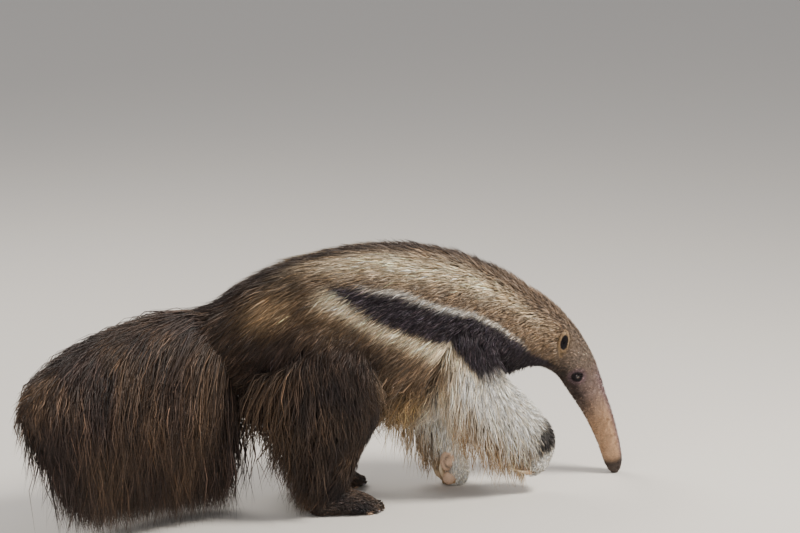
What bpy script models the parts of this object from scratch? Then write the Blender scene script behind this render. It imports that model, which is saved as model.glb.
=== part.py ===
"""Giant anteater, life size, pausing with its nose lowered to the floor.

The animal faces +X, its left is +Y and the floor is the plane z = 0. The body is lofted along named
stations and joined as one smooth core, locks of coat are rooted in it, and the whole is parted with
thin cuts into its named nodes.
"""
import math
import random

import bmesh
import bpy
import numpy as np
from mathutils import Matrix, Vector
from mathutils.bvhtree import BVHTree

# Driving dimensions, metres
GAP = 0.0003
VOXEL = 0.007
SMOOTH_ROUNDS = 6
BODY_TRIANGLES = 2400
SECTION_SIDES = 24
SECTION_STEPS = 5
HEAD_SIDES = 14
HEAD_STEPS = 2
FAR = 2.0
WELD = 1e-7
SOLVER = "MANIFOLD"

# A station is a place on an axis with the flesh's reach up, down and to each side, and the coat's
# further reach up, down and to each side. On a leg, up is forward and down is backward.
BODY = {
    "rump": ((-0.275, 0, 0.400), (0.050, 0.040, 0.040), (0.050, 0.030, 0.040)),
    "haunch": ((-0.215, 0, 0.410), (0.092, 0.090, 0.080), (0.050, 0.030, 0.035)),
    "loin": ((-0.110, 0, 0.425), (0.122, 0.125, 0.110), (0.047, 0.035, 0.030)),
    "waist": ((0.000, 0, 0.435), (0.140, 0.140, 0.120), (0.045, 0.035, 0.028)),
    "ribs": ((0.110, 0, 0.430), (0.155, 0.150, 0.128), (0.042, 0.040, 0.028)),
    "chest": ((0.210, 0, 0.415), (0.157, 0.150, 0.128), (0.042, 0.045, 0.025)),
    "shoulder": ((0.300, 0, 0.405), (0.148, 0.135, 0.118), (0.042, 0.035, 0.022)),
    "neck_base": ((0.385, 0, 0.397), (0.119, 0.108, 0.100), (0.038, 0.020, 0.018)),
    "nape": ((0.460, 0, 0.382), (0.093, 0.085, 0.080), (0.031, 0.012, 0.014)),
    "poll": ((0.525, 0, 0.362), (0.071, 0.066, 0.066), (0.022, 0.006, 0.009)),
    "crown": ((0.577, 0, 0.330), (0.057, 0.056, 0.057), (0.009, 0.005, 0.006)),
    "brow": ((0.615, 0, 0.288), (0.048, 0.046, 0.047), (0.003, 0.003, 0.003)),
    "eye_line": ((0.640, 0, 0.243), (0.043, 0.041, 0.040), (0.002, 0.002, 0.002)),
    "snout_root": ((0.665, 0, 0.193), (0.035, 0.034, 0.034), (0.001, 0.001, 0.001)),
    "snout_middle": ((0.690, 0, 0.140), (0.030, 0.029, 0.028), (0.001, 0.001, 0.001)),
    "muzzle": ((0.710, 0, 0.085), (0.026, 0.025, 0.024), (0.000, 0.000, 0.000)),
    "lips": ((0.7235, 0, 0.037), (0.0220, 0.0215, 0.0210), (0.000, 0.000, 0.000)),
    "nose": ((0.7285, 0, 0.012), (0.0165, 0.0165, 0.0160), (0.000, 0.000, 0.000)),
    "nose_end": ((0.7300, 0, -0.002), (0.0060, 0.0060, 0.0060), (0.000, 0.000, 0.000)),
}
TAIL = {
    "tip_end": ((-0.790, -0.225, 0.352), (0.005, 0.005, 0.005), (0.030, 0.060, 0.012)),
    "tip": ((-0.750, -0.200, 0.370), (0.012, 0.012, 0.010), (0.048, 0.250, 0.034)),
    "end_third": ((-0.680, -0.150, 0.388), (0.018, 0.018, 0.018), (0.062, 0.355, 0.046)),
    "middle": ((-0.590, -0.095, 0.400), (0.026, 0.026, 0.026), (0.060, 0.385, 0.050)),
    "near_middle": ((-0.480, -0.045, 0.408), (0.034, 0.034, 0.034), (0.052, 0.375, 0.050)),
    "near_base": ((-0.370, -0.012, 0.410), (0.042, 0.042, 0.042), (0.050, 0.320, 0.046)),
    "base": ((-0.280, 0, 0.408), (0.052, 0.050, 0.050), (0.052, 0.200, 0.040)),
    "root": ((-0.200, 0, 0.405), (0.050, 0.060, 0.050), (0.030, 0.060, 0.030)),
}
FORELEG_RIGHT = {
    "shoulder": ((0.285, -0.085, 0.400), (0.070, 0.070, 0.050), (0.010, 0.010, 0.010)),
    "upper_arm": ((0.305, -0.103, 0.320), (0.065, 0.062, 0.048), (0.012, 0.020, 0.014)),
    "elbow": ((0.347, -0.108, 0.248), (0.060, 0.055, 0.045), (0.014, 0.030, 0.014)),
    "forearm": ((0.415, -0.103, 0.192), (0.048, 0.044, 0.042), (0.018, 0.030, 0.014)),
    "wrist": ((0.480, -0.093, 0.137), (0.036, 0.034, 0.036), (0.012, 0.020, 0.010)),
    "palm": ((0.492, -0.090, 0.104), (0.030, 0.032, 0.036), (0.006, 0.010, 0.006)),
    "knuckles": ((0.482, -0.088, 0.070), (0.024, 0.032, 0.035), (0.004, 0.006, 0.005)),
    "knuckle_end": ((0.472, -0.088, 0.052), (0.012, 0.020, 0.022), (0.002, 0.004, 0.003)),
}
FORELEG_LEFT = {
    "shoulder": ((0.285, 0.085, 0.400), (0.070, 0.070, 0.050), (0.010, 0.010, 0.010)),
    "upper_arm": ((0.272, 0.104, 0.320), (0.062, 0.062, 0.048), (0.012, 0.020, 0.014)),
    "elbow": ((0.262, 0.103, 0.248), (0.056, 0.055, 0.045), (0.014, 0.030, 0.014)),
    "forearm": ((0.285, 0.080, 0.180), (0.046, 0.044, 0.042), (0.014, 0.030, 0.014)),
    "wrist": ((0.307, 0.058, 0.112), (0.034, 0.030, 0.034), (0.008, 0.010, 0.006)),
    "palm": ((0.316, 0.048, 0.068), (0.036, 0.026, 0.031), (0.004, 0.003, 0.004)),
    "knuckles": ((0.322, 0.043, 0.026), (0.038, 0.029, 0.033), (0.003, 0.003, 0.003)),
    "knuckle_end": ((0.324, 0.041, -0.004), (0.026, 0.022, 0.022), (0.001, 0.001, 0.001)),
}
HIND_REACH = {
    "hip": ((0.095, 0.095, 0.055), (0.010, 0.010, 0.020)),
    "thigh": ((0.088, 0.090, 0.055), (0.018, 0.030, 0.024)),
    "knee": ((0.062, 0.068, 0.050), (0.018, 0.045, 0.022)),
    "shin": ((0.044, 0.046, 0.040), (0.016, 0.045, 0.018)),
    "ankle": ((0.036, 0.040, 0.034), (0.010, 0.020, 0.010)),
    "ankle_end": ((0.026, 0.030, 0.026), (0.004, 0.006, 0.004)),
}
HIND_RIGHT_AXIS = {
    "hip": (-0.095, -0.085, 0.395), "thigh": (-0.052, -0.108, 0.330), "knee": (0.000, -0.113, 0.255),
    "shin": (-0.022, -0.107, 0.165), "ankle": (-0.036, -0.100, 0.078), "ankle_end": (-0.034, -0.099, 0.040),
}
HIND_LEFT_AXIS = {
    "hip": (-0.095, 0.085, 0.395), "thigh": (-0.034, 0.108, 0.330), "knee": (0.032, 0.113, 0.255),
    "shin": (0.012, 0.107, 0.165), "ankle": (-0.002, 0.100, 0.078), "ankle_end": (0.000, 0.099, 0.040),
}
FOOT = {
    "heel_end": ((-0.048, 0, 0.022), (0.014, 0.020, 0.014)),
    "heel": ((-0.034, 0, 0.024), (0.024, 0.028, 0.027)),
    "instep": ((0.010, 0, 0.030), (0.034, 0.034, 0.034)),
    "ball": ((0.060, 0, 0.022), (0.025, 0.026, 0.040)),
    "toes": ((0.096, 0, 0.014), (0.016, 0.017, 0.038)),
    "toe_end": ((0.110, 0, 0.010), (0.007, 0.009, 0.026)),
}
FOOT_TURN = math.radians(6)
# Long hair that hangs behind a leg, rooted in the leg's rear
FRINGE_FORE_RIGHT = {
    "rear": ((0.300, -0.103, 0.200), (0.050, 0.010, 0.016), (0.010, 0.100, 0.012)),
    "rear_middle": ((0.345, -0.106, 0.180), (0.060, 0.020, 0.022), (0.010, 0.105, 0.014)),
    "middle": ((0.395, -0.102, 0.155), (0.060, 0.020, 0.022), (0.010, 0.085, 0.014)),
    "front": ((0.440, -0.096, 0.130), (0.045, 0.020, 0.020), (0.010, 0.055, 0.012)),
}
FRINGE_FORE_LEFT = {
    "rear": ((0.218, 0.098, 0.205), (0.045, 0.010, 0.014), (0.010, 0.095, 0.010)),
    "middle": ((0.245, 0.094, 0.182), (0.060, 0.020, 0.020), (0.010, 0.100, 0.012)),
    "front": ((0.280, 0.078, 0.150), (0.050, 0.020, 0.018), (0.010, 0.060, 0.010)),
}
FRINGE_HIND = {
    "rear": ((-0.200, 0.092, 0.275), (0.030, 0.020, 0.020), (0.020, 0.100, 0.012)),
    "rear_middle": ((-0.170, 0.104, 0.255), (0.080, 0.040, 0.032), (0.020, 0.130, 0.016)),
    "middle": ((-0.125, 0.110, 0.235), (0.100, 0.050, 0.038), (0.020, 0.110, 0.018)),
    "front": ((-0.070, 0.108, 0.200), (0.090, 0.050, 0.036), (0.010, 0.080, 0.016)),
}
CORE_SHARE = 0.45

# Rows of locks. Each runs between two named stations of an axis, at an angle round the section from its
# top, and holds a count, the length of its first and last lock, the width, the tips' rise above the
# core as a share of the length, the turn of the lie from backward to downward, the sag and how closely
# the row follows the core: one that hardly does hangs free
LOCK_ROWS = {
    "crest": ("body", "rump", "poll", 0, 9, 0.190, 0.100, 0.062, 0.17, 0, 0.10, 0.9),
    "mane": ("body", "haunch", "poll", 27, 7, 0.190, 0.105, 0.062, 0.16, 12, 0.15, 0.9),
    "back": ("body", "haunch", "nape", 54, 7, 0.180, 0.115, 0.064, 0.15, 28, 0.20, 0.9),
    "flank": ("body", "haunch", "nape", 82, 7, 0.170, 0.115, 0.062, 0.15, 42, 0.30, 0.8),
    "lower_flank": ("body", "haunch", "neck_base", 110, 6, 0.150, 0.115, 0.060, 0.15, 55, 0.40, 0.6),
    "belly": ("body", "waist", "chest", 136, 4, 0.130, 0.115, 0.060, 0.10, 72, 0.80, 0.0),
    "tail_crest": ("tail", "tip", "base", 0, 6, 0.180, 0.170, 0.060, 0.20, 0, 0.20, 0.6),
    "tail_top": ("tail", "tip", "base", 42, 6, 0.230, 0.200, 0.064, 0.16, 38, 0.50, 0.5),
    "tail_side": ("tail", "tip", "base", 86, 7, 0.270, 0.250, 0.062, 0.12, 66, 1.00, 0.0),
    "tail_low": ("tail", "tip", "base", 128, 7, 0.270, 0.245, 0.062, 0.08, 78, 1.20, 0.0),
    "tail_hem": ("tail", "tip", "base", 160, 7, 0.240, 0.215, 0.062, 0.04, 84, 1.50, 0.0),
    "fore_fringe": ("fore_fringe", "rear", "front", 130, 4, 0.100, 0.070, 0.046, 0.08, 70, 1.00, 0.0),
    "fore_inner": ("fore_fringe", "rear", "front", -150, 3, 0.095, 0.070, 0.050, 0.08, 76, 1.00, 0.0),
    "thigh": ("hind_fringe", "rear", "front", 85, 3, 0.150, 0.130, 0.056, 0.14, 72, 0.60, 0.2),
    "hind_fringe": ("hind_fringe", "rear", "front", 140, 4, 0.135, 0.120, 0.050, 0.08, 78, 1.00, 0.0),
    "hind_inner": ("hind_fringe", "rear", "front", -155, 3, 0.135, 0.110, 0.054, 0.08, 78, 1.00, 0.0),
}
HANGING = 0.3
LOCK_SINK = 0.012
LOCK_PLACES = (0.0, 0.25, 0.55, 0.82)
LOCK_WIDTHS = (0.75, 1.00, 0.85, 0.45)
LOCK_THICKNESS = 0.13
LOCK_SWING = 0.12
SEED = 7

# Thin cuts between the nodes: a place and a downward pitch, facing forward
NECK_CUT = ((0.420, 0, 0.390), math.radians(10))
HEAD_CUT = ((0.545, 0, 0.352), math.radians(30))
SNOUT_CUT = ((0.664, 0, 0.197), math.radians(63))
TAIL_CUT = ((-0.275, 0, 0.400), math.radians(156))
# A leg's side, its reach in x, its inner face's y at the top, its top and the slant of its inner face
LEG_CUTS = {
    "foreleg_right": (-1, (0.195, 0.600), 0.050, 0.285, math.radians(11)),
    "foreleg_left": (1, (0.135, 0.420), 0.050, 0.285, math.radians(11)),
    "hindleg_right": (-1, (-0.290, 0.095), 0.045, 0.340, math.radians(7)),
    "hindleg_left": (1, (-0.290, 0.125), 0.045, 0.340, math.radians(7)),
}
# The hand or foot that ends each leg: its middle and size as a box
HAND_CUTS = {
    "hand_right": ("foreleg_right", (0.530, -0.090, 0.020), (0.160, 0.200, 0.190)),
    "hand_left": ("foreleg_left", (0.345, 0.060, -0.005), (0.160, 0.200, 0.180)),
    "foot_right": ("hindleg_right", (-0.010, -0.110, -0.040), (0.260, 0.260, 0.200)),
    "foot_left": ("hindleg_left", (0.024, 0.110, -0.040), (0.260, 0.260, 0.200)),
}

# Head details
EYE_RADIUS = 0.0085
EYE_PLACE = (0.612, 0.0352, 0.262)
LID_RADIUS = 0.0092
LID_THICKNESS = 0.0026
LID_TILT = math.radians(35)
EAR_ROOT = (0.562, 0.056, 0.328)
EAR_LEAN = (0.05, 0.30, 1.0)
EAR_LENGTH = 0.064
EAR_WIDTH = 0.030
EAR_THICKNESS = 0.015
NOSTRIL_RADIUS = 0.0034
NOSTRIL_PLACE = (0.7300, 0.0160, 0.0140)
MOUTH_SLIT = 0.0014
MOUTH_LENGTH = 0.024
MOUTH_PLACE = (0.7160, 0, 0.010)
MOUTH_PITCH = math.radians(72)

# Claws: root radius, length, place across the hand counted outward, and how far back the root sits
HAND_CLAWS = {
    "inner": (0.0048, 0.030, -0.026, 0.008),
    "second": (0.0078, 0.066, -0.0105, 0.000),
    "third": (0.0090, 0.084, 0.0090, 0.000),
    "outer": (0.0050, 0.034, 0.026, 0.018),
}
HAND_CLAW_ROOTS = {"right": (0.478, -0.088, 0.057), "left": (0.322, 0.040, 0.0145)}
HAND_CLAW_SWEEPS = {"right": math.radians(24), "left": math.radians(100)}
FOOT_CLAWS = {"first": 0.021, "second": 0.027, "third": 0.029, "fourth": 0.027, "fifth": 0.021}
FOOT_CLAW_RADIUS = 0.0050
FOOT_CLAW_SWEEP = math.radians(30)
TOE_SPREAD = 0.0145

COLOURS = {
    "coat_grizzled": ((0.115, 0.085, 0.065, 1), 0.85),
    "coat_dark": ((0.035, 0.028, 0.027, 1), 0.85),
    "coat_pale": ((0.520, 0.440, 0.350, 1), 0.85),
    "snout_skin": ((0.260, 0.190, 0.150, 1), 0.70),
    "pad_skin": ((0.420, 0.270, 0.210, 1), 0.60),
    "claw": ((0.450, 0.380, 0.300, 1), 0.45),
    "eye": ((0.012, 0.007, 0.006, 1), 0.08),
}


def clear_scene():
    """Removes every object that the file starts with."""
    for obj in list(bpy.data.objects):
        bpy.data.objects.remove(obj, do_unlink=True)


def new_collection(name):
    """Returns a new collection linked to the scene."""
    collection = bpy.data.collections.new(name)
    bpy.context.scene.collection.children.link(collection)
    return collection


def new_object(name, mesh, collection):
    """Returns a new object that carries the mesh."""
    obj = bpy.data.objects.new(name, mesh)
    collection.objects.link(obj)
    return obj


def material(name):
    """Returns the Principled material of one named finish."""
    mat = bpy.data.materials.get(name)
    if mat is None:
        mat = bpy.data.materials.new(name)
        mat.use_nodes = True
        colour, roughness = COLOURS[name]
        shader = mat.node_tree.nodes["Principled BSDF"]
        shader.inputs["Base Color"].default_value = colour
        shader.inputs["Roughness"].default_value = roughness
        shader.inputs["Metallic"].default_value = 0.0
    return mat


def through_points(points, steps):
    """Returns points on the smooth curve through the given rows, by the Catmull-Rom rule."""
    rows = np.array(points, dtype=float)
    padded = np.vstack([2 * rows[0] - rows[1], rows, 2 * rows[-1] - rows[-2]])
    out = []
    for i in range(1, len(padded) - 2):
        a, b, c, d = padded[i - 1:i + 3]
        for t in np.linspace(0, 1, steps, endpoint=False):
            out.append(0.5 * (2 * b + (c - a) * t + (2 * a - 5 * b + 4 * c - d) * t ** 2
                              + (3 * b - a - 3 * c + d) * t ** 3))
    out.append(rows[-1])
    return np.array(out)


def loft(name, stations, collection, sides=SECTION_SIDES, steps=SECTION_STEPS):
    """Returns a closed form swept along the stations, oval across."""
    rows = [tuple(place) + tuple(reach) for place, reach in stations]
    fine = through_points(rows, steps)
    centres = fine[:, :3]
    reaches = np.maximum(fine[:, 3:], 0.001)
    tangents = np.gradient(centres, axis=0)
    tangents /= np.linalg.norm(tangents, axis=1)[:, None]
    side = np.array([0.0, 1.0, 0.0]) - tangents[:, 1:2] * tangents
    side /= np.linalg.norm(side, axis=1)[:, None]
    up = np.cross(tangents, side)
    angles = np.linspace(0, math.tau, sides, endpoint=False)
    bm = bmesh.new()
    rings = []
    for centre, reach, u, s in zip(centres, reaches, up, side):
        ring = []
        for angle in angles:
            lift = reach[0] if math.cos(angle) > 0 else reach[1]
            ring.append(bm.verts.new(centre + u * lift * math.cos(angle) + s * reach[2] * math.sin(angle)))
        rings.append(ring)
    for first, second in zip(rings, rings[1:]):
        for i in range(sides):
            j = (i + 1) % sides
            bm.faces.new((first[i], first[j], second[j], second[i]))
    bm.faces.new(list(reversed(rings[0])))
    bm.faces.new(rings[-1])
    bmesh.ops.recalc_face_normals(bm, faces=bm.faces)
    mesh = bpy.data.meshes.new(name)
    bm.to_mesh(mesh)
    bm.free()
    return new_object(name, mesh, collection)


def with_coat(stations, share):
    """Returns stations whose reach is the flesh's plus a share of the coat's."""
    return [(place, tuple(f + share * c for f, c in zip(flesh, coat))) for place, flesh, coat in stations]


def evaluated_mesh(obj):
    """Returns the mesh of an object after its modifiers."""
    bpy.context.view_layer.update()
    graph = bpy.context.evaluated_depsgraph_get()
    return bpy.data.meshes.new_from_object(obj.evaluated_get(graph))


def apply_modifiers(obj):
    """Puts the result of an object's modifiers into its mesh."""
    mesh = evaluated_mesh(obj)
    obj.modifiers.clear()
    old = obj.data
    obj.data = mesh
    bpy.data.meshes.remove(old)


def remove(obj):
    """Removes an object and its mesh."""
    mesh = obj.data
    bpy.data.objects.remove(obj, do_unlink=True)
    bpy.data.meshes.remove(mesh)


def boolean(obj, other, operation):
    """Cuts, joins or clips an object with another one, which stays."""
    modifier = obj.modifiers.new(operation.title(), "BOOLEAN")
    modifier.object = other
    modifier.operation = operation
    modifier.solver = SOLVER
    apply_modifiers(obj)


def keep_largest(obj):
    """Keeps the largest closed surface of an object's mesh, in triangles."""
    bm = bmesh.new()
    bm.from_mesh(obj.data)
    bmesh.ops.remove_doubles(bm, verts=bm.verts, dist=WELD)
    seen = set()
    surfaces = []
    for start in bm.faces:
        if start in seen:
            continue
        seen.add(start)
        stack = [start]
        surface = []
        while stack:
            face = stack.pop()
            surface.append(face)
            for edge in face.edges:
                for other in edge.link_faces if len(edge.link_faces) == 2 else ():
                    if other not in seen:
                        seen.add(other)
                        stack.append(other)
        surfaces.append(surface)
    surfaces.sort(key=len)
    scraps = [face for surface in surfaces[:-1] for face in surface]
    bmesh.ops.delete(bm, geom=scraps, context="FACES")
    bmesh.ops.triangulate(bm, faces=bm.faces)
    bm.to_mesh(obj.data)
    bm.free()


def box(name, centre, size, rotation, collection):
    """Returns a box cutter of the given size, turned about its centre."""
    bm = bmesh.new()
    matrix = Matrix.Translation(centre) @ rotation.to_4x4() @ Matrix.Diagonal((*size, 1))
    bmesh.ops.create_cube(bm, size=1.0, matrix=matrix)
    mesh = bpy.data.meshes.new(name)
    bm.to_mesh(mesh)
    bm.free()
    obj = new_object(name, mesh, collection)
    obj.hide_render = True
    obj.display_type = "WIRE"
    return obj


def duplicate(obj, name, collection):
    """Returns a copy of an object with its own mesh."""
    return new_object(name, obj.data.copy(), collection)


def part_off(body, name, centre, size, rotation, parts, cutters):
    """Takes the piece inside a box off the body as its own node, and leaves a thin gap round the box."""
    inner = box(name + "_domain", centre, size, rotation, cutters)
    outer = box(name + "_gap", centre, [s + 2 * GAP for s in size], rotation, cutters)
    piece = duplicate(body, name, parts)
    boolean(piece, inner, "INTERSECT")
    boolean(body, outer, "DIFFERENCE")
    for cutter in (inner, outer):
        remove(cutter)
    keep_largest(piece)
    keep_largest(body)
    return piece


def beyond(place, pitch, reach=FAR):
    """Returns the centre, size and turn of a box whose rear face passes through a place, facing forward."""
    rotation = Matrix.Rotation(pitch, 3, "Y")
    ahead = rotation @ Vector((1, 0, 0))
    return Vector(place) + ahead * reach / 2, (reach, 1.0, reach), rotation


def sphere(name, centre, radius, segments, collection, scale=(1, 1, 1), rotation=None):
    """Returns a ball, or an egg where scale differs by axis."""
    bm = bmesh.new()
    turn = rotation.to_4x4() if rotation else Matrix.Identity(4)
    matrix = Matrix.Translation(centre) @ turn @ Matrix.Diagonal((*scale, 1))
    bmesh.ops.create_uvsphere(bm, u_segments=segments, v_segments=segments // 2, radius=radius,
                              matrix=matrix)
    mesh = bpy.data.meshes.new(name)
    bm.to_mesh(mesh)
    bm.free()
    return new_object(name, mesh, collection)


def claw(name, root, heading, bend, length, radius, sweep, collection):
    """Returns a curved claw that tapers from its root to its point.

    It leaves the root along the heading and curves towards the bend direction.
    """
    sides = 6
    rings = 5
    heading = Vector(heading).normalized()
    bend = Vector(bend)
    bend = (bend - bend.project(heading)).normalized()
    across = heading.cross(bend)
    turn_radius = length / sweep
    bm = bmesh.new()
    loops = []
    for k in range(rings):
        t = k / rings
        angle = sweep * t
        ahead = turn_radius * math.sin(angle)
        centre = Vector(root) + heading * ahead + bend * turn_radius * (1 - math.cos(angle))
        outward = bend * math.cos(angle) - heading * math.sin(angle)
        size = radius * (1 - t) ** 0.7
        loops.append([bm.verts.new(centre + (outward * math.cos(a) * 1.25 + across * math.sin(a)) * size)
                      for a in np.linspace(0, math.tau, sides, endpoint=False)])
    ahead = turn_radius * math.sin(sweep)
    tip = bm.verts.new(Vector(root) + heading * ahead + bend * turn_radius * (1 - math.cos(sweep)))
    for first, second in zip(loops, loops[1:]):
        for i in range(sides):
            j = (i + 1) % sides
            bm.faces.new((first[i], first[j], second[j], second[i]))
    for i in range(sides):
        bm.faces.new((loops[-1][i], loops[-1][(i + 1) % sides], tip))
    bm.faces.new(list(reversed(loops[0])))
    bmesh.ops.recalc_face_normals(bm, faces=bm.faces)
    bmesh.ops.triangulate(bm, faces=bm.faces)
    mesh = bpy.data.meshes.new(name)
    bm.to_mesh(mesh)
    bm.free()
    return new_object(name, mesh, collection)


def grown_copy(obj, amount, collection):
    """Returns a copy of an object whose surface stands further out by the amount."""
    copy = duplicate(obj, obj.name + "_grown", collection)
    modifier = copy.modifiers.new("Grow", "DISPLACE")
    modifier.strength = amount
    modifier.mid_level = 0.0
    apply_modifiers(copy)
    return copy


def stations_of(table):
    """Returns a table's rows in order."""
    return list(table.values())


def hind_leg(axis):
    """Returns a hind leg's rows from its axis and the reach that both hind legs share."""
    return [(axis[key], flesh, coat) for key, (flesh, coat) in HIND_REACH.items()]


def foot_rows(ankle, sign):
    """Returns a foot's rows, set under the ankle and turned a little outward."""
    turn = Matrix.Rotation(sign * FOOT_TURN, 3, "Z")
    rows = []
    for place, reach in FOOT.values():
        spot = turn @ Vector((place[0], 0, 0))
        rows.append(((ankle[0] + spot.x, ankle[1] + spot.y, place[2]), reach))
    return rows


def along_axis(table, first, last, count):
    """Returns even shares of the way between two stations, each with its row, tangent, up and side."""
    names = list(table)
    steps = 12
    fine = through_points([np.concatenate([place, np.add(flesh, np.multiply(CORE_SHARE, coat))])
                           for place, flesh, coat in table.values()], steps)
    start = names.index(first) * steps
    stop = names.index(last) * steps
    tangents = np.gradient(fine[:, :3], axis=0)
    tangents /= np.linalg.norm(tangents, axis=1)[:, None]
    travel = np.linalg.norm(np.diff(fine[:, :3], axis=0), axis=1)
    lengths = np.concatenate([[0.0], np.cumsum(travel)])
    sections = []
    for share in (np.arange(count) + 0.5) / count:
        where = lengths[start] + share * (lengths[stop] - lengths[start])
        row = [np.interp(where, lengths, column) for column in fine.T]
        tangent = Vector([np.interp(where, lengths, column) for column in tangents.T]).normalized()
        side = (Vector((0, 1, 0)) - tangent * tangent.y).normalized()
        sections.append((share, row, tangent, tangent.cross(side), side))
    return sections


def lock_path(root, lie, outward, away, tree, shape, length, swing):
    """Returns the places, headings and outward directions along a lock.

    It starts under the core and comes out of it. A lying lock then follows the core, rising evenly to
    its tip, and a hanging one falls free with its flat side facing away from the axis.
    """
    rise, sag, cling = shape
    face = outward if cling > HANGING else away
    heading = (lie - lie.project(outward) + outward * 0.6).normalized()
    place = root - outward * LOCK_SINK
    path = [(place, heading, face)]
    shares = LOCK_PLACES + (1.0,)
    for before, share in zip(shares, shares[1:]):
        place = place + heading * (share - before) * length
        near, normal, _, _ = tree.find_nearest(place)
        height = (place - near).dot(normal)
        wanted = rise * length * share
        if height < wanted:
            place = place + normal * (wanted - height)
        else:
            place = place + normal * (wanted - height) * cling
        if cling > HANGING:
            face = (face + normal).normalized()
        heading = lie + Vector((0, 0, -1)) * sag * share + lie.cross(face) * swing * share
        heading = (heading - face * heading.dot(face) * 0.8 * cling).normalized()
        path.append((place, heading, face))
    return path


def add_lock(name, path, width, locks):
    """Adds one flat lock along a path, with a low ridge on its outer face, tapering to its tip."""
    bm = bmesh.new()
    rings = []
    for (place, heading, outward), share, breadth in zip(path, LOCK_PLACES, LOCK_WIDTHS):
        across = outward.cross(heading).normalized()
        ridge = heading.cross(across).normalized()
        half = across * 0.5 * width * breadth
        depth = LOCK_THICKNESS * width * (1.0 - 0.7 * share)
        rings.append([bm.verts.new(place - half), bm.verts.new(place + ridge * depth),
                      bm.verts.new(place + half)])
    tip = bm.verts.new(path[-1][0])
    for first, second in zip(rings, rings[1:]):
        for i in range(3):
            j = (i + 1) % 3
            bm.faces.new((first[i], first[j], second[j], second[i]))
    for i in range(3):
        bm.faces.new((rings[-1][i], rings[-1][(i + 1) % 3], tip))
    bm.faces.new(list(reversed(rings[0])))
    bmesh.ops.triangulate(bm, faces=bm.faces)
    bmesh.ops.recalc_face_normals(bm, faces=bm.faces)
    mesh = bpy.data.meshes.new(name)
    bm.to_mesh(mesh)
    bm.free()
    new_object(name, mesh, locks)


def mirrored(table):
    """Returns a table of stations on the animal's other side."""
    return {key: ((place[0], -place[1], place[2]), flesh, coat)
            for key, (place, flesh, coat) in table.items()}


def signs_of(axis, table, angle):
    """Returns the sides that a row of locks grows on: both, the middle once, or the leg's outer side."""
    if axis in ("body", "tail"):
        return (1, -1) if angle else (1,)
    return (math.copysign(1, table["front"][0][1]),)


def grow_locks(body, locks):
    """Roots every row of locks in the core, each a little different from the next."""
    rng = random.Random(SEED)
    bm = bmesh.new()
    bm.from_mesh(body.data)
    tree = BVHTree.FromBMesh(bm)
    bm.free()
    tables = {
        "body": [BODY],
        "tail": [TAIL],
        "fore_fringe": [FRINGE_FORE_RIGHT, FRINGE_FORE_LEFT],
        "hind_fringe": [FRINGE_HIND, mirrored(FRINGE_HIND)],
    }
    for name, row_of_locks in LOCK_ROWS.items():
        axis, first, last, angle, count, long, short, width, rise, turn, sag, cling = row_of_locks
        for table in tables[axis]:
            for sign in signs_of(axis, table, angle):
                for share, row, tangent, up, side in along_axis(table, first, last, count):
                    spin = math.radians(sign * (angle + rng.uniform(-4, 4)))
                    centre = Vector(row[:3]) + tangent * rng.uniform(-0.012, 0.012)
                    reach = row[3] if math.cos(spin) > 0 else row[4]
                    ray = up * math.cos(spin) * reach + side * math.sin(spin) * row[5]
                    hit, normal, _, _ = tree.ray_cast(centre, ray)
                    around = sign * (side * math.cos(spin) - up * math.sin(spin))
                    if cling <= HANGING:
                        around = -up
                    bearing = math.radians(turn + rng.uniform(-6, 6))
                    lie = around * math.sin(bearing) - tangent * math.cos(bearing)
                    length = (long + (short - long) * share) * rng.uniform(0.86, 1.12)
                    path = lock_path(hit, lie, normal, side * sign, tree, (rise, sag, cling), length,
                                     rng.uniform(-LOCK_SWING, LOCK_SWING))
                    add_lock("lock_" + name, path, width * rng.uniform(0.92, 1.06), locks)


def fuse_locks(body, locks):
    """Joins all locks to the core in one union and removes their objects."""
    modifier = body.modifiers.new("Locks", "BOOLEAN")
    modifier.operation = "UNION"
    modifier.operand_type = "COLLECTION"
    modifier.collection = locks
    modifier.solver = SOLVER
    apply_modifiers(body)
    for obj in list(locks.objects):
        remove(obj)
    bpy.data.collections.remove(locks)
    keep_largest(body)


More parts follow.
